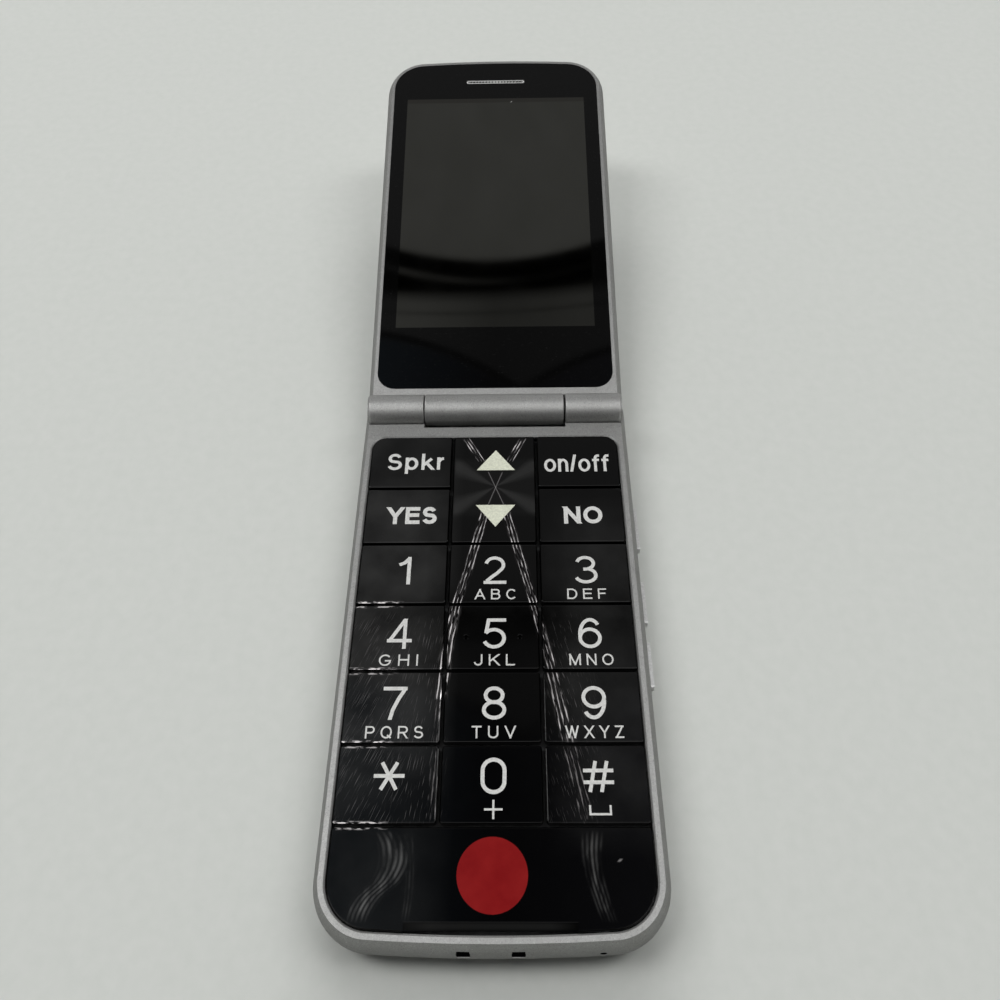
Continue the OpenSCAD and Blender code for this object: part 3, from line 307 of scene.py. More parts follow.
# What gloss mirrors: walls by height and from front to back, then a black gap in the ceiling. Its edges
# bow with x, the far one less.
WALL_TO_CEILING = [(0.0, 0.7), (0.3, 0.5), (0.68, 0.15), (0.9, 0.125)]
FRONT_TO_BACK = [(0.0, 0.03), (0.3, 1.0)]
BOW_AT, FAR_BOW = -0.015, 0.6
GAP_LOW, GAP_HIGH = 0.8985, 0.914
# A faint arc in the gap, which grows towards the left
ARC_LOW, ARC_HIGH = 0.908, 0.9125
ARC_X, ARC_GLOW = (0.02, -0.12), (0.004, 0.05)
# The ceiling past the gap from left to right, and straight up
CEILING_X = (-0.16, 0.12)
CEILING = [(0.0, 0.13), (0.5, 0.06), (1.0, 0.08)]
TOP_Z, TOP = (0.95, 0.985), (0.015, 0.015, 0.015)
# A dim seam across it, and a dark ridge with a cooler ceiling beyond
SEAM, SEAM_EDGE, SEAM_DIM = 0.9245, (0.0002, 0.0012), 0.55
RIDGE, RIDGE_EDGE, RIDGE_DIM = 0.956, (0.0008, 0.0024), 0.1
RIDGE_AT, RIDGE_SLOPE = 0.01, 0.205
BEYOND = [(0.0, (0.06, 0.08, 0.10)), (0.5, (0.01, 0.01, 0.015)), (1.0, (0.05, 0.05, 0.06))]
SOFT = 0.003
# A wide soft light ahead of straight up
AHEAD_Y, AHEAD_Z, AHEAD_FADE = (-0.68, -0.03), (0.1, 0.4), 0.15
AHEAD_GLOW = (1.7, 1.7, 1.7)


def ceiling_colour(sky, x, z, bowed):
    """The ceiling past the gap; bowed is the height that bows as the gap's far edge does."""
    side = sky.range(x, *CEILING_X)
    ceiling = sky.mix(sky.range(z, *TOP_Z), sky.ramp(side, CEILING), TOP)
    sloped = sky.plus(z, sky.times(sky.off(x, RIDGE_AT), RIDGE_SLOPE))
    ceiling = sky.mix(sky.range(sloped, RIDGE, RIDGE + SOFT), ceiling, sky.ramp(side, BEYOND))
    ridge = sky.range(sky.off(sloped, RIDGE), *RIDGE_EDGE, RIDGE_DIM, 1)
    seam = sky.range(sky.off(bowed, SEAM), *SEAM_EDGE, SEAM_DIM, 1)
    return sky.tint(sky.tint(ceiling, ridge), seam)


def studio_colour(sky, x, y, z):
    """What gloss mirrors in each direction."""
    wall = sky.tint(sky.ramp(z, WALL_TO_CEILING), sky.ramp(y, FRONT_TO_BACK))
    bow = sky.math("POWER", sky.off(x, BOW_AT), 2.0)
    near_edge = sky.plus(z, bow)
    far_edge = sky.plus(z, sky.times(bow, FAR_BOW))
    arc_glow = sky.range(x, *ARC_X, *ARC_GLOW)
    gap = sky.times(sky.between(near_edge, ARC_LOW, ARC_HIGH, SOFT / 2), arc_glow)
    past_gap = sky.range(far_edge, GAP_HIGH, GAP_HIGH + 2 * SOFT)
    ceiling = sky.mix(past_gap, gap, ceiling_colour(sky, x, z, far_edge))
    shown = sky.mix(sky.range(near_edge, GAP_LOW, GAP_LOW + SOFT), wall, ceiling)
    ahead = sky.times(sky.between(y, *AHEAD_Y, AHEAD_FADE), sky.range(z, *AHEAD_Z))
    return sky.mix(ahead, shown, AHEAD_GLOW)


def make_world():
    """A plain studio. The camera sees a pale room; matt finishes get a sky that is brighter behind the
    phone; gloss mirrors pale walls under a darker ceiling that has a black gap across it."""
    world = bpy.data.worlds.new("world")
    bpy.context.scene.world = world
    world.use_nodes = True
    sky = Nodes(world.node_tree)
    sky.tree.nodes.clear()
    x, y, z = sky.split(sky.add("ShaderNodeTexCoord").outputs["Generated"])
    path = sky.add("ShaderNodeLightPath")
    glow = sky.range(y, *SKY_Y, *SKY_GLOW)
    lit = sky.mix(path.outputs["Is Glossy Ray"], glow, studio_colour(sky, x, y, z))
    colour = sky.mix(path.outputs["Is Camera Ray"], lit, ROOM)
    background = sky.feed(sky.add("ShaderNodeBackground"), Color=colour)
    out = sky.add("ShaderNodeOutputWorld")
    sky.link(background.outputs[0], out.inputs["Surface"])


TABLE_HALF = 1.5
TABLE_TONES = [(0.3, (0.588, 0.608, 0.575)), (0.7, (0.612, 0.628, 0.597))]


def make_floor():
    mesh = bpy.data.meshes.new("table")
    half = TABLE_HALF
    corners = [(-half, -half, 0), (half, -half, 0), (half, half, 0), (-half, half, 0)]
    mesh.from_pydata(corners, [], [(0, 1, 2, 3)])
    table = bpy.data.objects.new("table", mesh)
    bpy.context.scene.collection.objects.link(table)
    paint = Paint("table_paint", roughness=0.7)
    paint.set("Base Color", paint.ramp(paint.grain(2.5, detail=3), TABLE_TONES))
    table.data.materials.append(paint.material)


# ---------------------------------------------------------------- materials

# Openings in the bottom wall, whose insides get painted shade: the contact slots, the microphone hole, and how far
# in the painted shade reaches, from behind the wall's outer face to behind the contacts' front
CONTACT_PITCH, CONTACT_HALF, CONTACT_TOP = 8.45 * MM, 1.1 * MM, 7.6 * MM
HOLE_R = 0.56 * MM
HOLES_FROM, HOLES_TO = 0.2 * MM, 1.2 * MM
# The painted shade's colour
HOLES_SHADE = (0.001, 0.001, 0.001)


def end_hole_shade(paint):
    """1 on the inside of the contact slots and the microphone hole, where shade is painted."""
    x, y, z = paint.split(paint.place)
    outer_face, contact_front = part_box("front_housing")[0].y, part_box("charge_contacts")[0].y
    inside = paint.between(y, outer_face + HOLES_FROM, contact_front + HOLES_TO, 0.03 * MM)
    middle = CONTACT_PITCH / 2
    across = paint.between(paint.off(x, 0), middle - CONTACT_HALF, middle + CONTACT_HALF, 0.05 * MM)
    slots = paint.times(across, paint.range(z, CONTACT_TOP, CONTACT_TOP - 0.1 * MM))
    low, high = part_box("microphone")
    centre = (low + high) / 2
    away = paint.reach(x, z, (centre.x, centre.z))
    hole = paint.range(away, HOLE_R, HOLE_R - 0.06 * MM)
    return paint.times(inside, paint.math("MAXIMUM", slots, hole))


FLAKE_SIZE = 0.16
FLAKE_TONES = [(0.0, 0.28), (0.3, 0.37), (0.8, 0.41), (1.0, 0.52)]
GRIME_TONES = [(0.35, (0.93, 0.93, 0.905)), (0.65, (1.0, 1.0, 0.98))]
SPECK_SIZE, SPECK_DIM = 0.35, 0.72


def silver_paint():
    """Silver-grey paint with fine metal flakes, a soft orange peel, a little grime, and painted shade inside the
    end's slots and hole.
    """
    paint = Paint("silver_paint", metallic=0.78, specular_tint=(0.2, 0.2, 0.2), specular_ior_level=0.2)
    flakes = paint.ramp(paint.flecks(FLAKE_SIZE), FLAKE_TONES)
    grime = paint.ramp(paint.grain(6, detail=5), GRIME_TONES)
    specks = paint.range(paint.grain(SPECK_SIZE, detail=1), 0.70, 0.76, 1, SPECK_DIM)
    colour = paint.tint(paint.tint(flakes, grime), specks)
    # Painted shade inside the contact slots and the microphone hole
    paint.set("Base Color", paint.mix(end_hole_shade(paint), colour, HOLES_SHADE))
    paint.set("Roughness", paint.range(paint.grain(0.25), 0.3, 0.7, 0.46, 0.54))
    paint.bump(paint.grain(0.2, detail=1), distance=0.004 * MM, strength=0.6)
    return paint.material


# The keypad in mm: the two-row key's middle, the line under a row of keys, the red disc, the finger lip
NAV_AT = (0.25, 30.2)
ROW_LINE, ROW_PITCH = 3.875, 13.0
DISC_AT, DISC_R, DISC_EDGE = (0.2, -42.38), 5.55, 0.05
LIP_HALF, LIP_Y = 13.2, (-50.2, -48.8)

# Bundles of painted sheen streaks over the keys: points (y, x) in mm, half width, gap, strength
SHEEN_BUNDLES = [
    ([(36.4, -2.6), (42.7, -6.1)], 1.1, 0.62, 1.0),
    ([(36.3, 3.0), (42.5, 6.0)], 1.1, 0.62, 0.9),
    ([(3.7, -6.9), (11.0, -4.9), (26.0, -1.3)], 1.1, 0.7, 0.9),
    ([(-14.5, -9.0), (-3.3, -8.1), (3.7, -6.9)], 1.3, 0.7, 1.9),
    ([(-34.3, -9.85), (-14.5, -9.0)], 0.8, 0.7, 0.25),
    ([(-9.0, 10.6), (3.7, 7.6), (25.7, 2.0)], 1.1, 0.62, 0.9),
    ([(-22.0, 12.9), (-9.0, 10.4)], 1.4, 0.8, 0.8),
    ([(-34.3, 15.4), (-22.0, 12.9)], 1.2, 0.9, 0.3),
]
# Smooth dark-and-light bands of painted sheen on the widest key
SHEEN_BANDS = [
    ([(-49.2, -20.4), (-46.0, -19.1), (-42.8, -15.9), (-38.5, -15.1), (-35.9, -16.4)], 3.2, 1.05, 0.09),
    ([(-49.0, -13.0), (-43.0, -12.6), (-36.0, -13.4)], 1.3, 0.7, 0.02),
    ([(-49.0, 18.0), (-46.0, 17.0), (-41.5, 15.9), (-35.8, 16.1)], 2.1, 0.8, 0.07),
]
# Thin painted sheen lines that cross on the two-row key, from the lower end
SHEEN_CROSS = [((2.0, 25.7), (-1.3, 34.0)), ((-1.2, 25.8), (1.7, 33.9))]
CROSS_HALF, CROSS_GLOW = 0.14, 0.16
# Fine scratches on the lower rows: lean, length, least noise, x from and to, fade, strength
SCRATCHES = [
    (-0.42, 4.0, 0.62, -40, -13, 5, 0.11),
    (-0.17, 3.6, 0.64, -18, -7, 4, 0.12),
    (0.28, 2.8, 0.64, 8, 19, 4, 0.10),
]
SCRATCH_HEAD, SCRATCH_FOOT = (3.0, -1.0), (-35.5, -34.5)
# A bright speck on the widest key
SPOT, SPOT_HALF, SPOT_GLOW = ((19.86, -40.6), (20.4, -40.0)), 0.35, 0.5
# Painted highlights along the lines between the rows at the far left, broken up by noise
GLINT_EDGE, GLINT_X, GLINT_Y, GLINT_GLOW = (0.35, 0.75), (-16.5, -19), (-37, 6), 1.3
GLINT_GRAIN = (1.3, 0.4, 1.0)


def scratches_and_sheen_marks(paint, x, y):
    """How bright the marks on the keys are at each point: real scratches and a speck, painted sheen streaks and
    painted glints.
    """
    marks = [paint.times(paint.threads(x, y, points, half, gap), strength)
             for points, half, gap, strength in SHEEN_BUNDLES]
    marks += [paint.times(paint.stroke(x, y, low, high, CROSS_HALF), CROSS_GLOW) for low, high in SHEEN_CROSS]
    rows = paint.times(paint.range(y, *SCRATCH_HEAD), paint.range(y, *SCRATCH_FOOT))
    for lean, along, least, left, right, fade, strength in SCRATCHES:
        patch = paint.times(rows, paint.between(x, left, right, fade))
        marks.append(paint.times(paint.streaks(lean, along, least), patch, strength))
    marks.append(paint.times(paint.stroke(x, y, *SPOT, SPOT_HALF), SPOT_GLOW))
    from_row = paint.from_line(paint.math("SUBTRACT", y, ROW_LINE), ROW_PITCH)
    glint_breaks = paint.range(paint.grain(GLINT_GRAIN), 0.47, 0.6)
    place = paint.times(paint.range(x, *GLINT_X, 0, GLINT_GLOW), paint.between(y, *GLINT_Y, 1))
    marks.append(paint.times(paint.range(from_row, *GLINT_EDGE, 1, 0), glint_breaks, place))
    return paint.plus(*marks)


# Soft patches of painted reflection in mm: the left column, which fades at its foot and head, and the right edge
COLUMN_X, COLUMN_GLOW = (-6, -13), (0.0005, 0.016)
COLUMN_FOOT, COLUMN_HEAD = (-20, -33, 1, 0.35), (28, 33, 1, 0.5)
RIGHT_X, RIGHT_Y, RIGHT_FADE, RIGHT_GLOW = (9, 14), (-40, 28), 12, 0.009
# Painted sheen on the two-row key: how far from its middle it fades out, its fan by slope, and its even glow
NAV_DX, NAV_DY, NAV_GLOW = (8.8, 8.0), (7.4, 6.0), 0.003
FAN_SLOPE, FAN_FADE, FAN_GLOW = (0.25, 1.05), 0.3, 0.015
# Painted highlight on the finger lip's slope
LIP_GLOW = 0.012


def painted_key_sheen(paint, x, y):
    """How bright the painted sheen on the keys is: soft reflections in the columns, the two-row key's fan, the
    sheen bands and a highlight on the lip.
    """
    cloud = paint.range(paint.grain(9, detail=4), 0.35, 0.65, 0.55, 1.45)
    left = paint.times(paint.range(x, *COLUMN_X, *COLUMN_GLOW), paint.range(y, *COLUMN_FOOT),
                       paint.range(y, *COLUMN_HEAD))
    right = paint.times(paint.range(x, *RIGHT_X, 0, RIGHT_GLOW), paint.between(y, *RIGHT_Y, RIGHT_FADE))
    columns = paint.times(paint.plus(left, right), cloud)
    dx, dy = paint.off(x, NAV_AT[0]), paint.off(y, NAV_AT[1])
    on_nav = paint.times(paint.range(dx, *NAV_DX), paint.range(dy, *NAV_DY))
    fan = paint.between(paint.math("DIVIDE", dy, dx), *FAN_SLOPE, FAN_FADE)
    nav = paint.times(on_nav, paint.plus(paint.times(fan, FAN_GLOW), NAV_GLOW))
    sheen_bands = [paint.times(paint.sheen_bands(x, y, points, half, gap), strength)
             for points, half, gap, strength in SHEEN_BANDS]
    lip = paint.times(paint.between(x, -LIP_HALF, LIP_HALF, 4), paint.between(y, *LIP_Y, 0.5), LIP_GLOW)
    return paint.plus(columns, nav, *sheen_bands, lip)


# The keys' black, rising to white where painted sheen is laid on; the marks' colour, for real scratches and
# painted glints alike
KEY_AND_SHEEN_TONES = [(0.0, (0.0008, 0.0008, 0.0008)), (1.0, (1.0, 1.0, 0.98))]
MARK_AND_GLINT_TONE = (0.62, 0.59, 0.59)
RED_TONES = [(0.3, (0.205, 0.008, 0.009)), (0.7, (0.25, 0.012, 0.012))]
# How far off the keys' tops a bevel begins and is full, and how metallic it is
BEVEL_FROM, BEVEL_METAL = (0.006 * MM, 0.014 * MM), 0.96


def key_top():
    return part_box("key_1")[1].z


def key_gloss(name="key_gloss", with_disc=False):
    """Gloss black keys with fine scratches, painted sheen, painted streaks and painted glints; the widest one
    carries a red disc. Their bevels and nubs are a black metal, so that they mirror next to nothing."""
    paint = Paint(name)
    paint.shade_flat()
    x, y = paint.millimetres()
    # Painted sheen and reflections on the keys' black, with scratches and painted glints on top
    black_and_sheen = paint.ramp(painted_key_sheen(paint, x, y), KEY_AND_SHEEN_TONES)
    colour = paint.mix(scratches_and_sheen_marks(paint, x, y), black_and_sheen, MARK_AND_GLINT_TONE)
    if with_disc:
        away = paint.reach(x, y, DISC_AT)
        disc = paint.range(away, DISC_R - DISC_EDGE, DISC_R + DISC_EDGE, 1, 0)
        colour = paint.mix(disc, colour, paint.ramp(paint.grain(3, detail=4), RED_TONES))
    paint.set("Base Color", colour)
    _, _, z = paint.split(paint.place)
    bevel = paint.range(paint.off(z, key_top()), *BEVEL_FROM)
    paint.set("Metallic", paint.times(bevel, BEVEL_METAL))
    paint.set("Roughness", paint.range(paint.grain(3, detail=6), 0.3, 0.75, 0.05, 0.1))
    return paint.material


# The display in the lid's own mm, y from the hinge axis, with a darker strip at its far end
SCREEN_HALF, SCREEN_EDGE = 22.5, 0.002
SCREEN_LOW, SCREEN_HIGH, SCREEN_STRIP = 21.2, 89.6, 1.4
SCREEN_TONES = [(0.3, (0.205, 0.205, 0.185)), (0.7, (0.225, 0.225, 0.205))]
STRIP_TONE = (0.17, 0.165, 0.15)
# A bright fleck near the display's far end
FLECK, FLECK_HALF, FLECK_TONE = ((3.8, 88.15), (4.3, 88.75)), 0.25, (0.7, 0.7, 0.7)
WINDOW_TONE, DUST_TONE = (0.0018, 0.0018, 0.0018), (0.03, 0.03, 0.03)
DUST_SIZE = 0.16


def window_gloss(name="window_gloss", with_screen=False):
    """Gloss black window with fine dust; the display behind it is a dim mirror."""
    paint = Paint(name)
    paint.shade_flat()
    dust = paint.range(paint.grain(DUST_SIZE, detail=0), 0.80, 0.84)
    colour = paint.mix(dust, WINDOW_TONE, DUST_TONE)
    if with_screen:
        x, y = paint.on_lid(HINGE_AT)
        inside = paint.times(paint.between(x, -SCREEN_HALF, SCREEN_HALF, SCREEN_EDGE),
                             paint.between(y, SCREEN_LOW, SCREEN_HIGH, SCREEN_EDGE))
        strip = paint.range(y, SCREEN_HIGH - SCREEN_STRIP, SCREEN_HIGH - SCREEN_STRIP + 0.1)
        grey = paint.mix(strip, paint.ramp(paint.grain((9, 14, 9)), SCREEN_TONES), STRIP_TONE)
        fleck = paint.stroke(x, y, *FLECK, FLECK_HALF)
        colour = paint.mix(fleck, paint.mix(inside, colour, grey), FLECK_TONE)
        paint.set("Metallic", paint.times(inside, paint.range(fleck, 0, 1, 1, 0)))
    paint.set("Base Color", colour)
    paint.set("Roughness", paint.range(paint.grain(8, detail=5), 0.3, 0.7, 0.03, 0.045))
    return paint.material


# The grille's holes: how many, their radius and soft edge in mm, and how much the last pitch reaches past
GRILLE_HOLES, GRILLE_R, GRILLE_EDGE, GRILLE_PAST = 19, 0.23, 0.06, 0.1
GRILLE_TONES = [(0.3, (0.78, 0.78, 0.76)), (0.7, (0.9, 0.9, 0.88))]
# Painted shade inside the holes
GRILLE_HOLE_SHADE = (0.004, 0.004, 0.004)


def grille_metal():
    """Bright metal strip with a row of round holes, painted dark as shade."""
    paint = Paint("grille_metal", metallic=0.4, roughness=0.35)
    low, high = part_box("earpiece_grille")
    x, y = paint.on_lid((low + high) / 2)
    width = (high.x - low.x) / MM
    pitch = (width + GRILLE_PAST) / GRILLE_HOLES
    row = (width - pitch) / 2
    away = paint.reach(paint.from_line(x, pitch), y, (0, 0))
    hole = paint.range(away, GRILLE_R, GRILLE_R + GRILLE_EDGE, 1, 0)
    hole = paint.times(hole, paint.between(x, -row, row, 0.1))
    metal = paint.ramp(paint.grain(0.3), GRILLE_TONES)
    paint.set("Base Color", paint.mix(hole, metal, GRILLE_HOLE_SHADE))
    return paint.material


PLAIN_GRAIN, PLAIN_RELIEF = 0.4, 0.003 * MM


def plain(name, colour, roughness, metallic=0.0):
    """A finish with a fine grain in its colour, its roughness and its relief."""
    paint = Paint(name, metallic=metallic)
    grain = paint.grain(PLAIN_GRAIN, detail=3)
    dark = tuple(c * 0.86 for c in colour)
    light = tuple(min(c * 1.12, 1) for c in colour)
    paint.set("Base Color", paint.ramp(grain, [(0.3, dark), (0.7, light)]))
    paint.set("Roughness", paint.range(grain, 0.3, 0.7, roughness * 0.85, roughness * 1.15))
    paint.bump(grain, distance=PLAIN_RELIEF, strength=0.5)
    return paint.material


# Material slots with a plain finish: colour, roughness, metallic
PLAIN_SLOTS = {
    "key_metal": ((0.66, 0.66, 0.65), 0.42, 0.6),
    "screen": ((0.05, 0.05, 0.048), 0.2),
    "keypad_rubber": ((0.01, 0.01, 0.01), 0.7),
    "inner_plastic": ((0.02, 0.02, 0.02), 0.55),
    "board": ((0.02, 0.12, 0.06), 0.4),
    "cable_film": ((0.5, 0.2, 0.03), 0.3),
    "gold_plate": ((0.75, 0.5, 0.18), 0.25, 1.0),
    "steel": ((0.55, 0.55, 0.56), 0.3, 1.0),
}
# Metal that shows only as an end or edge in a gap or a slot, given a near-black colour as painted shade
SHADED_STEEL = ((0.035, 0.035, 0.035), 0.5, 0.5)
SHADED_NODES = ("hinge_shaft", "hinge_sleeve", "charge_contacts")


def paint_nodes():
    """Every CAD node gets the finish of its material slot; a few get a version of their own."""
    finishes = {slot: plain(slot, *values) for slot, values in PLAIN_SLOTS.items()}
    finishes.update(silver_paint=silver_paint(), key_gloss=key_gloss(), window_gloss=window_gloss(),
                    grille_metal=grille_metal())
    slots = {row["node"]: row["material_slot"] for row in frame["record"]["subparts"]}
    for name, node in NODES.items():
        node.data.materials.clear()
        node.data.materials.append(finishes[slots[name]])
    NODES["display_window"].data.materials[0] = window_gloss("lid_window", with_screen=True)
    NODES["key_call"].data.materials[0] = key_gloss("call_key_gloss", with_disc=True)
    # Painted shade: the steel in the hinge's gaps and the contact slots is coloured near black
    shaded_steel = plain("shaded_steel", *SHADED_STEEL)
    for name in SHADED_NODES:
        NODES[name].data.materials[0] = shaded_steel


# ---------------------------------------------------------------- legends

# A legend's thickness, how deep it sits in its key, and the step that keeps crossing strokes apart
INK_T, INK_SINK, LAYER = 0.03 * MM, 0.02 * MM, 0.001 * MM


def finished_mesh(name, shape):
    """A mesh from a bmesh, with its faces turned outwards."""
    bmesh.ops.recalc_face_normals(shape, faces=shape.faces)
    mesh = bpy.data.meshes.new(name)
    shape.to_mesh(mesh)
    shape.free()
    return mesh


def raise_outlines(name, outlines):
    """Thin solids on z = 0 from closed outlines of (x, y) points."""
    shape = bmesh.new()
    for level, outline in enumerate(outlines):
        low = [shape.verts.new((x, y, 0)) for x, y in outline]
        high = [shape.verts.new((x, y, INK_T + level * LAYER)) for x, y in outline]
        shape.faces.new(low[::-1])
        shape.faces.new(high)
        for i in range(len(outline)):
            j = (i + 1) % len(outline)
            shape.faces.new((low[i], low[j], high[j], high[i]))
    return finished_mesh(name, shape)


def bar(start, end, width):
    """Outline of a straight bar."""
    a, b = Vector(start), Vector(end)
    side = (b - a).normalized().orthogonal() * width / 2
    return [tuple(p) for p in (a - side, b - side, b + side, a + side)]


ARC_STEP = 12


def arc(x, y, across, up, start, end):
    """Points of an ellipse's arc from a start to an end angle in degrees."""
    steps = max(2, round(abs(end - start) / ARC_STEP))
    turns = [math.radians(start + (end - start) * i / steps) for i in range(steps + 1)]
    return [(x + across * math.cos(a), y + up * math.sin(a)) for a in turns]


RING = arc(0.5, 0.5, 0.5, 0.5, 0, 360)
SMALL_RING = arc(0.5, 0.36, 0.5, 0.36, 0, 360)
STEM = [(0, 0), (0, 1)]
BOWL = [(0, 1), (0.6, 1)] + arc(0.62, 0.73, 0.38, 0.27, 80, -80) + [(0.6, 0.46), (0, 0.46)]
HOOK = [(1, 1)] + arc(0.86, 0.76, 0.5, 0.24, 90, 172) + [(0.36, 0.7), (0.36, 0)]

# Plain upright letters of even strokes: width by height, then the middle line of each stroke, drawn in a
# box from 0 to 1 that ends at the capitals' height
GLYPHS = {
    "0": (0.70, [arc(0.5, 0.66, 0.5, 0.34, 0, 180) + arc(0.5, 0.34, 0.5, 0.34, 180, 348) + [(1, 0.66)]]),
    "1": (0.42, [[(1, 0), (1, 1)], [(0, 0.74), (0.55, 0.82), (0.95, 0.99)]]),
    "2": (0.70, [arc(0.48, 0.71, 0.46, 0.29, 168, -32) + [(0.62, 0.38), (0.3, 0.2), (0.06, 0.05)],
                 [(0, 0), (1, 0)]]),
    "3": (0.70, [arc(0.47, 0.76, 0.43, 0.24, 165, -80) + [(0.36, 0.52)],
                 arc(0.47, 0.27, 0.52, 0.27, 78, -160)]),
    "4": (0.74, [[(0.74, 0), (0.74, 1)], [(0.7, 1), (0.04, 0.24)], [(0, 0.24), (1, 0.24)]]),
    "5": (0.70, [[(1, 1), (0.2, 1), (0.08, 0.5)], arc(0.48, 0.32, 0.51, 0.32, 145, -158)]),
    "6": (0.70, [arc(0.52, 0.72, 0.42, 0.28, 18, 90) + arc(0.54, 0.42, 0.54, 0.58, 100, 180),
                 arc(0.5, 0.32, 0.5, 0.32, 0, 360)]),
    "7": (0.70, [[(0, 1), (1, 1)], [(0.97, 0.97), (0.68, 0.64), (0.44, 0.28), (0.34, 0)]]),
    "8": (0.70, [arc(0.5, 0.76, 0.42, 0.24, 0, 360), arc(0.5, 0.265, 0.5, 0.265, 0, 360)]),
    "9": (0.70, [arc(0.48, 0.28, 0.42, 0.28, 198, 270) + arc(0.46, 0.58, 0.54, 0.58, 280, 360),
                 arc(0.5, 0.68, 0.5, 0.32, 0, 360)]),
    "A": (0.90, [[(0, 0), (0.5, 1)], [(0.5, 1), (1, 0)], [(0.2, 0.32), (0.8, 0.32)]]),
    "B": (0.80, [STEM, [(0, 1), (0.6, 1)] + arc(0.62, 0.77, 0.31, 0.23, 80, -80) + [(0.6, 0.54), (0, 0.54)],
                 [(0.6, 0.54)] + arc(0.66, 0.27, 0.34, 0.27, 80, -80) + [(0.6, 0), (0, 0)]]),
    "C": (0.88, [arc(0.52, 0.5, 0.5, 0.5, 38, 322)]),
    "D": (0.86, [STEM, [(0, 1), (0.42, 1)] + arc(0.45, 0.5, 0.55, 0.5, 80, -80) + [(0.42, 0), (0, 0)]]),
    "E": (0.78, [STEM, [(0, 1), (1, 1)], [(0, 0.53), (0.93, 0.53)], [(0, 0), (1, 0)]]),
    "F": (0.72, [STEM, [(0, 1), (1, 1)], [(0, 0.53), (0.86, 0.53)]]),
    "G": (0.92, [arc(0.5, 0.5, 0.5, 0.5, 40, 330) + [(0.97, 0.44), (0.55, 0.44)]]),
    "H": (0.80, [STEM, [(1, 0), (1, 1)], [(0, 0.53), (1, 0.53)]]),
    "I": (0.16, [[(0.5, 0), (0.5, 1)]]),
    "J": (0.66, [[(1, 1), (1, 0.32)] + arc(0.5, 0.28, 0.5, 0.28, -12, -180)]),
    "K": (0.84, [STEM, [(0.95, 1), (0.05, 0.36)], [(0.36, 0.6), (1, 0)]]),
    "L": (0.70, [STEM, [(0, 0), (1, 0)]]),
    "M": (0.98, [STEM, [(0.02, 1), (0.5, 0)], [(0.5, 0), (0.98, 1)], [(1, 0), (1, 1)]]),
    "N": (0.84, [STEM, [(0.04, 1), (0.96, 0)], [(1, 0), (1, 1)]]),
    "O": (0.96, [RING]),
    "P": (0.78, [STEM, BOWL]),
    "Q": (0.94, [RING, [(0.62, 0.24), (1, -0.02)]]),
    "R": (0.82, [STEM, BOWL, [(0.55, 0.46), (1, 0)]]),
    "S": (0.80, [arc(0.49, 0.745, 0.43, 0.255, 18, 235) + arc(0.51, 0.265, 0.48, 0.265, 55, -165)]),
    "T": (0.78, [[(0, 1), (1, 1)], [(0.5, 1), (0.5, 0)]]),
    "U": (0.80, [[(0, 1), (0, 0.36)] + arc(0.5, 0.32, 0.5, 0.32, 190, 350) + [(1, 0.36), (1, 1)]]),
    "V": (0.86, [[(0, 1), (0.5, 0)], [(0.5, 0), (1, 1)]]),
    "W": (1.20, [[(0, 1), (0.26, 0)], [(0.26, 0), (0.5, 1)], [(0.5, 1), (0.74, 0)], [(0.74, 0), (1, 1)]]),
    "X": (0.84, [[(0, 1), (1, 0)], [(0, 0), (1, 1)]]),
    "Y": (0.86, [[(0, 1), (0.5, 0.42)], [(0.5, 0.42), (1, 1)], [(0.5, 0.46), (0.5, 0)]]),
    "Z": (0.78, [[(0, 1), (1, 1)], [(0.94, 1), (0.06, 0)], [(0, 0), (1, 0)]]),
    "f": (0.48, [HOOK, [(0, 0.70), (0.9, 0.70)]]),
    "k": (0.66, [STEM, [(0.94, 0.72), (0.05, 0.25)], [(0.34, 0.44), (1, 0)]]),
    "n": (0.66, [[(0, 0), (0, 0.72)], arc(0.5, 0.42, 0.5, 0.3, 172, 0) + [(1, 0)]]),
    "o": (0.78, [SMALL_RING]),
    "p": (0.70, [[(0, -0.28), (0, 0.72)], SMALL_RING]),
    "r": (0.48, [[(0, 0), (0, 0.72)], arc(0.9, 0.38, 0.9, 0.34, 165, 90)]),
    "/": (0.40, [[(0, 0), (1, 1)]]),
}
# How sharp a mitred corner may get, how near to upright or level an end counts as straight, and how
# steep an end must be to be cut level
SHARPEST = 0.6
STRAIGHT = 0.02
LEAST_RISE = 0.4


def square_to(a, b):
    """Unit vector to the left of the way from a to b."""
    way = (b - a).normalized()
    return Vector((-way.y, way.x))


def capped(point, before, half, limits):
    """The two corners of a stroke's end: square past a straight end, level at the foot or head line."""
    way = (point - before).normalized()
    side = square_to(before, point) * half
    if abs(way.x) < STRAIGHT or abs(way.y) < STRAIGHT:
        return point - side + way * half, point + side + way * half
    for level, edge in limits:
        if abs(point.y - level) < half * STRAIGHT and abs(way.y) > LEAST_RISE:
            return tuple(c + way * ((edge - c.y) / way.y) for c in (point - side, point + side))
    return point - side, point + side


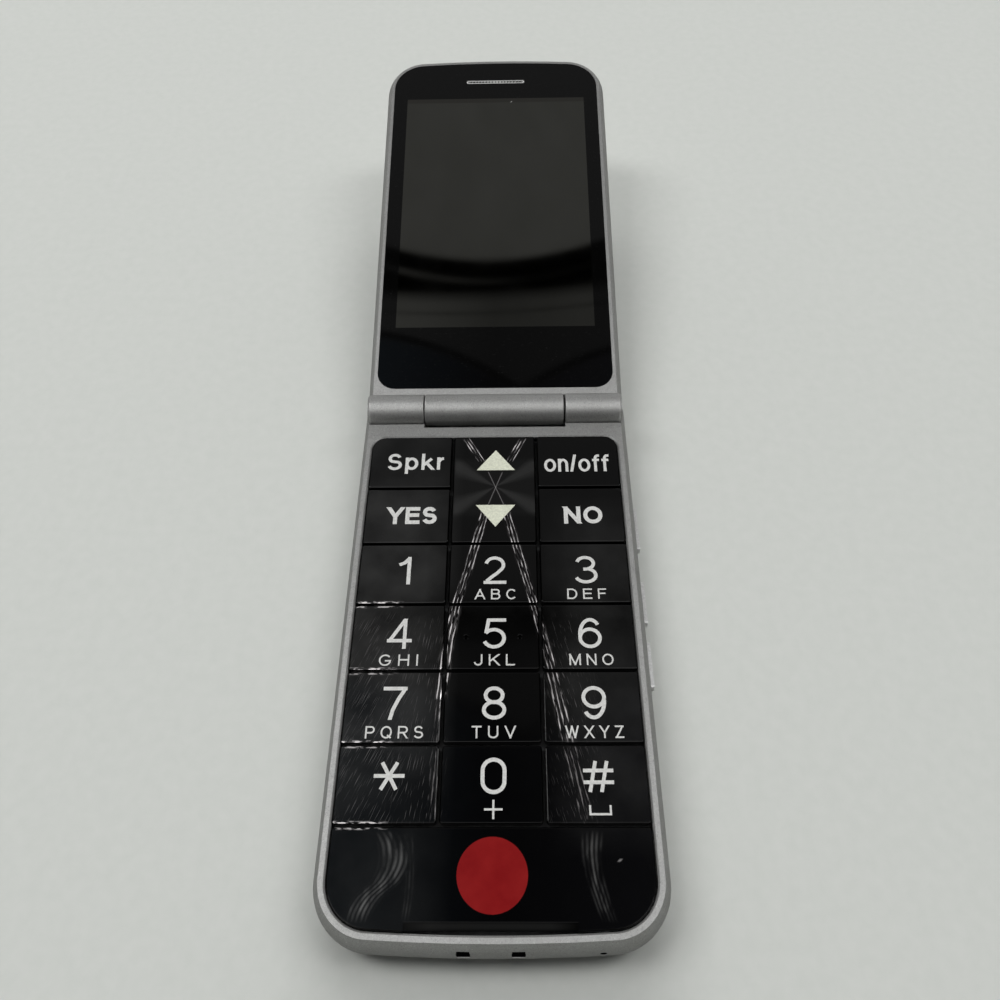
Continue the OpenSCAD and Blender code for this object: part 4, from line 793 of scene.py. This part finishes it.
def ribbon(shape, points, half, top, limits):
    """Thin solid band of even width along a line of points, mitred at its corners."""
    closed = (points[0] - points[-1]).length < half / 10
    points = points[:-1] if closed else points
    last = len(points) - 1
    rows = []
    for i, here in enumerate(points):
        if not closed and i == 0:
            right, left = capped(here, points[1], half, limits)[::-1]
        elif not closed and i == last:
            right, left = capped(here, points[i - 1], half, limits)
        else:
            sides = [square_to(points[i - 1], here), square_to(here, points[(i + 1) % len(points)])]
            side = (sides[0] + sides[1]).normalized()
            side *= half / max(side.dot(sides[0]), SHARPEST)
            right, left = here - side, here + side
        corners = ((right, 0), (left, 0), (left, top), (right, top))
        rows.append([shape.verts.new((p.x, p.y, z)) for p, z in corners])
    for a, b in zip(rows, rows[1:] + rows[:1] if closed else rows[1:]):
        for i in range(4):
            j = (i + 1) % 4
            shape.faces.new((a[i], a[j], b[j], b[i]))
    if not closed:
        shape.faces.new(rows[0][::-1])
        shape.faces.new(rows[-1])


def word_mesh(name, words, size, thick, gap):
    """Words of a width and a cap height, in strokes of one thickness, on the baseline y = 0."""
    width, height = size
    natural = sum(GLYPHS[letter][0] for letter in words) + gap * (len(words) - 1)
    per_unit = width / natural
    foot_and_head = ((thick / 2, 0), (height - thick / 2, height))
    shape = bmesh.new()
    x, level = 0, 0
    for letter in words:
        share, lines = GLYPHS[letter]
        reach = max(share * per_unit - thick, 0)
        for line in lines:
            spots = [Vector((x + thick / 2 + u * reach, thick / 2 + v * (height - thick))) for u, v in line]
            ribbon(shape, spots, thick / 2, INK_T + level * LAYER, foot_and_head)
            level += 1
        x += (share + gap) * per_unit
    return finished_mesh(name, shape)


def fit(mesh, size):
    """Scale a mesh to a real width and height, centred on the origin."""
    low = Vector([min(v.co[i] for v in mesh.vertices) for i in range(2)])
    high = Vector([max(v.co[i] for v in mesh.vertices) for i in range(2)])
    span = high - low
    middle = (low + high) / 2
    for v in mesh.vertices:
        v.co.x = (v.co.x - middle.x) * size[0] / span.x
        v.co.y = (v.co.y - middle.y) * size[1] / span.y
    return mesh


# Legends: key, words, width, height and cap height in mm, middle above the key's, stroke, gap, shift
WORDS = [
    ("key_speaker", "Spkr", 11.6, 5.1, 4.0, -0.45, 0.64, 0.18, 1.0),
    ("key_power", "on/off", 13.4, 4.3, 4.3, -0.6, 0.59, 0.13, -0.3),
    ("key_yes", "YES", 10.2, 3.98, 3.98, 0.02, 0.84, 0.12, 0.8),
    ("key_no", "NO", 7.95, 3.98, 3.98, -0.1, 0.84, 0.14, 0.25),
]
# All but the words sit this far right of their key's middle, in mm
LEGEND_SHIFT = 0.3
# Width of each digit in mm, then what is the same for all; 0 sits twice as high
DIGITS = {"1": 2.4, "2": 4.3, "3": 4.3, "4": 4.5, "5": 4.2, "6": 4.25, "7": 4.2, "8": 4.2, "9": 4.25,
          "0": 4.3}
DIGIT_H, DIGIT_STROKE, DIGIT_UP = 5.9, 0.66, 0.64
# Letters under each digit: words, width in mm, shift in mm, then what is the same for all
LETTERS = {"2": ("ABC", 7.7, 0.0), "3": ("DEF", 7.3, -0.1), "4": ("GHI", 7.0, 0.1), "5": ("JKL", 7.3, 0.0),
           "6": ("MNO", 7.9, 0.0), "7": ("PQRS", 9.9, 0.3), "8": ("TUV", 7.6, 0.0),
           "9": ("WXYZ", 10.0, -0.2)}
LETTER_H, LETTER_STROKE, LETTER_GAP, LETTER_UP = 2.15, 0.28, 0.5, -4.46
# Signs: key, middle above the key's in mm, stroke, and the ends of each bar in mm
STAR_TIPS = [(2.55 * math.cos(a), 2.55 * math.sin(a)) for a in (0, math.pi / 3, 2 * math.pi / 3)]
SIGNS = {
    "legend_star": ("key_star", 1.27, 0.62, [((-x, -y), (x, y)) for x, y in STAR_TIPS]),
    "legend_hash": ("key_hash", 1.15, 0.6, [((-2.5, -0.95), (2.5, -0.95)), ((-2.5, 0.95), (2.5, 0.95)),
                                            ((-1.5, -2.5), (-0.4, 2.5)), ((0.4, -2.5), (1.5, 2.5))]),
    "legend_plus": ("key_0", -4.05, 0.34, [((-1.5, 0), (1.5, 0)), ((0, -1.5), (0, 1.5))]),
    "legend_space": ("key_hash", -4.8, 0.34, [((-1.65, 0), (1.65, 0)), ((-1.65, -0.17), (-1.65, 1.4)),
                                              ((1.65, -0.17), (1.65, 1.4))]),
}
# Arrows on the two-row key: half width, height, and their bases' distance from the key's middle in mm
ARROW_HALF, ARROW_TALL, ARROW_FROM = 3.95, 5.1, 4.25
INK, WARM_INK = ((0.60, 0.60, 0.58), 0.5), ((0.66, 0.68, 0.55), 0.45)


def legend(name, mesh, key, dx, dy, ink):
    """Lays a mesh on a key, dx and dy in mm from the key's middle. It rides on the key's body."""
    low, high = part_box(key)
    middle = (low + high) / 2
    mesh.transform(Matrix.Translation((middle.x + dx * MM, middle.y + dy * MM, key_top() - INK_SINK)))
    mesh.materials.append(ink)
    thing = bpy.data.objects.new(name, mesh)
    bpy.context.scene.collection.objects.link(thing)
    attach(thing, key)


def word_legend(name, words, size, cap, thick, gap, key, dx, dy, ink):
    """Words of a real width and height, in mm, on a key."""
    size = [s * MM for s in size]
    mesh = word_mesh(name, words, (size[0], cap * MM), thick * MM, gap)
    legend(name, fit(mesh, size), key, dx, dy, ink)


def make_words(ink):
    for key, words, width, height, cap, up, thick, gap, shift in WORDS:
        name = key.replace("key", "legend")
        word_legend(name, words, (width, height), cap, thick, gap, key, shift, up, ink)
    for digit, width in DIGITS.items():
        up = DIGIT_UP * (2 if digit == "0" else 1)
        word_legend("legend_" + digit, digit, (width, DIGIT_H), DIGIT_H, DIGIT_STROKE, 0, "key_" + digit,
                    LEGEND_SHIFT, up, ink)
    for digit, (words, width, shift) in LETTERS.items():
        word_legend("letters_" + digit, words, (width, LETTER_H), LETTER_H, LETTER_STROKE, LETTER_GAP,
                    "key_" + digit, LEGEND_SHIFT + shift, LETTER_UP, ink)


def make_signs(ink):
    for name, (key, up, thick, bars) in SIGNS.items():
        outlines = [bar(Vector(a) * MM, Vector(b) * MM, thick * MM) for a, b in bars]
        legend(name, raise_outlines(name, outlines), key, LEGEND_SHIFT, up, ink)


def make_arrows(ink):
    half, base, tip = ARROW_HALF * MM, ARROW_FROM * MM, (ARROW_FROM + ARROW_TALL) * MM
    for name, way in (("legend_up", 1), ("legend_down", -1)):
        outline = [(-half, way * base), (half, way * base), (0, way * tip)]
        legend(name, raise_outlines(name, [outline]), "key_nav", LEGEND_SHIFT, 0, ink)


# ---------------------------------------------------------------- the whole

def make_all():
    make_camera()
    make_world()
    make_lights()
    make_floor()
    paint_nodes()
    ink = plain("legend_ink", *INK)
    make_words(ink)
    make_signs(ink)
    make_arrows(plain("arrow_ink", *WARM_INK))


make_all()
bpy.context.scene.view_settings.view_transform = "Standard"
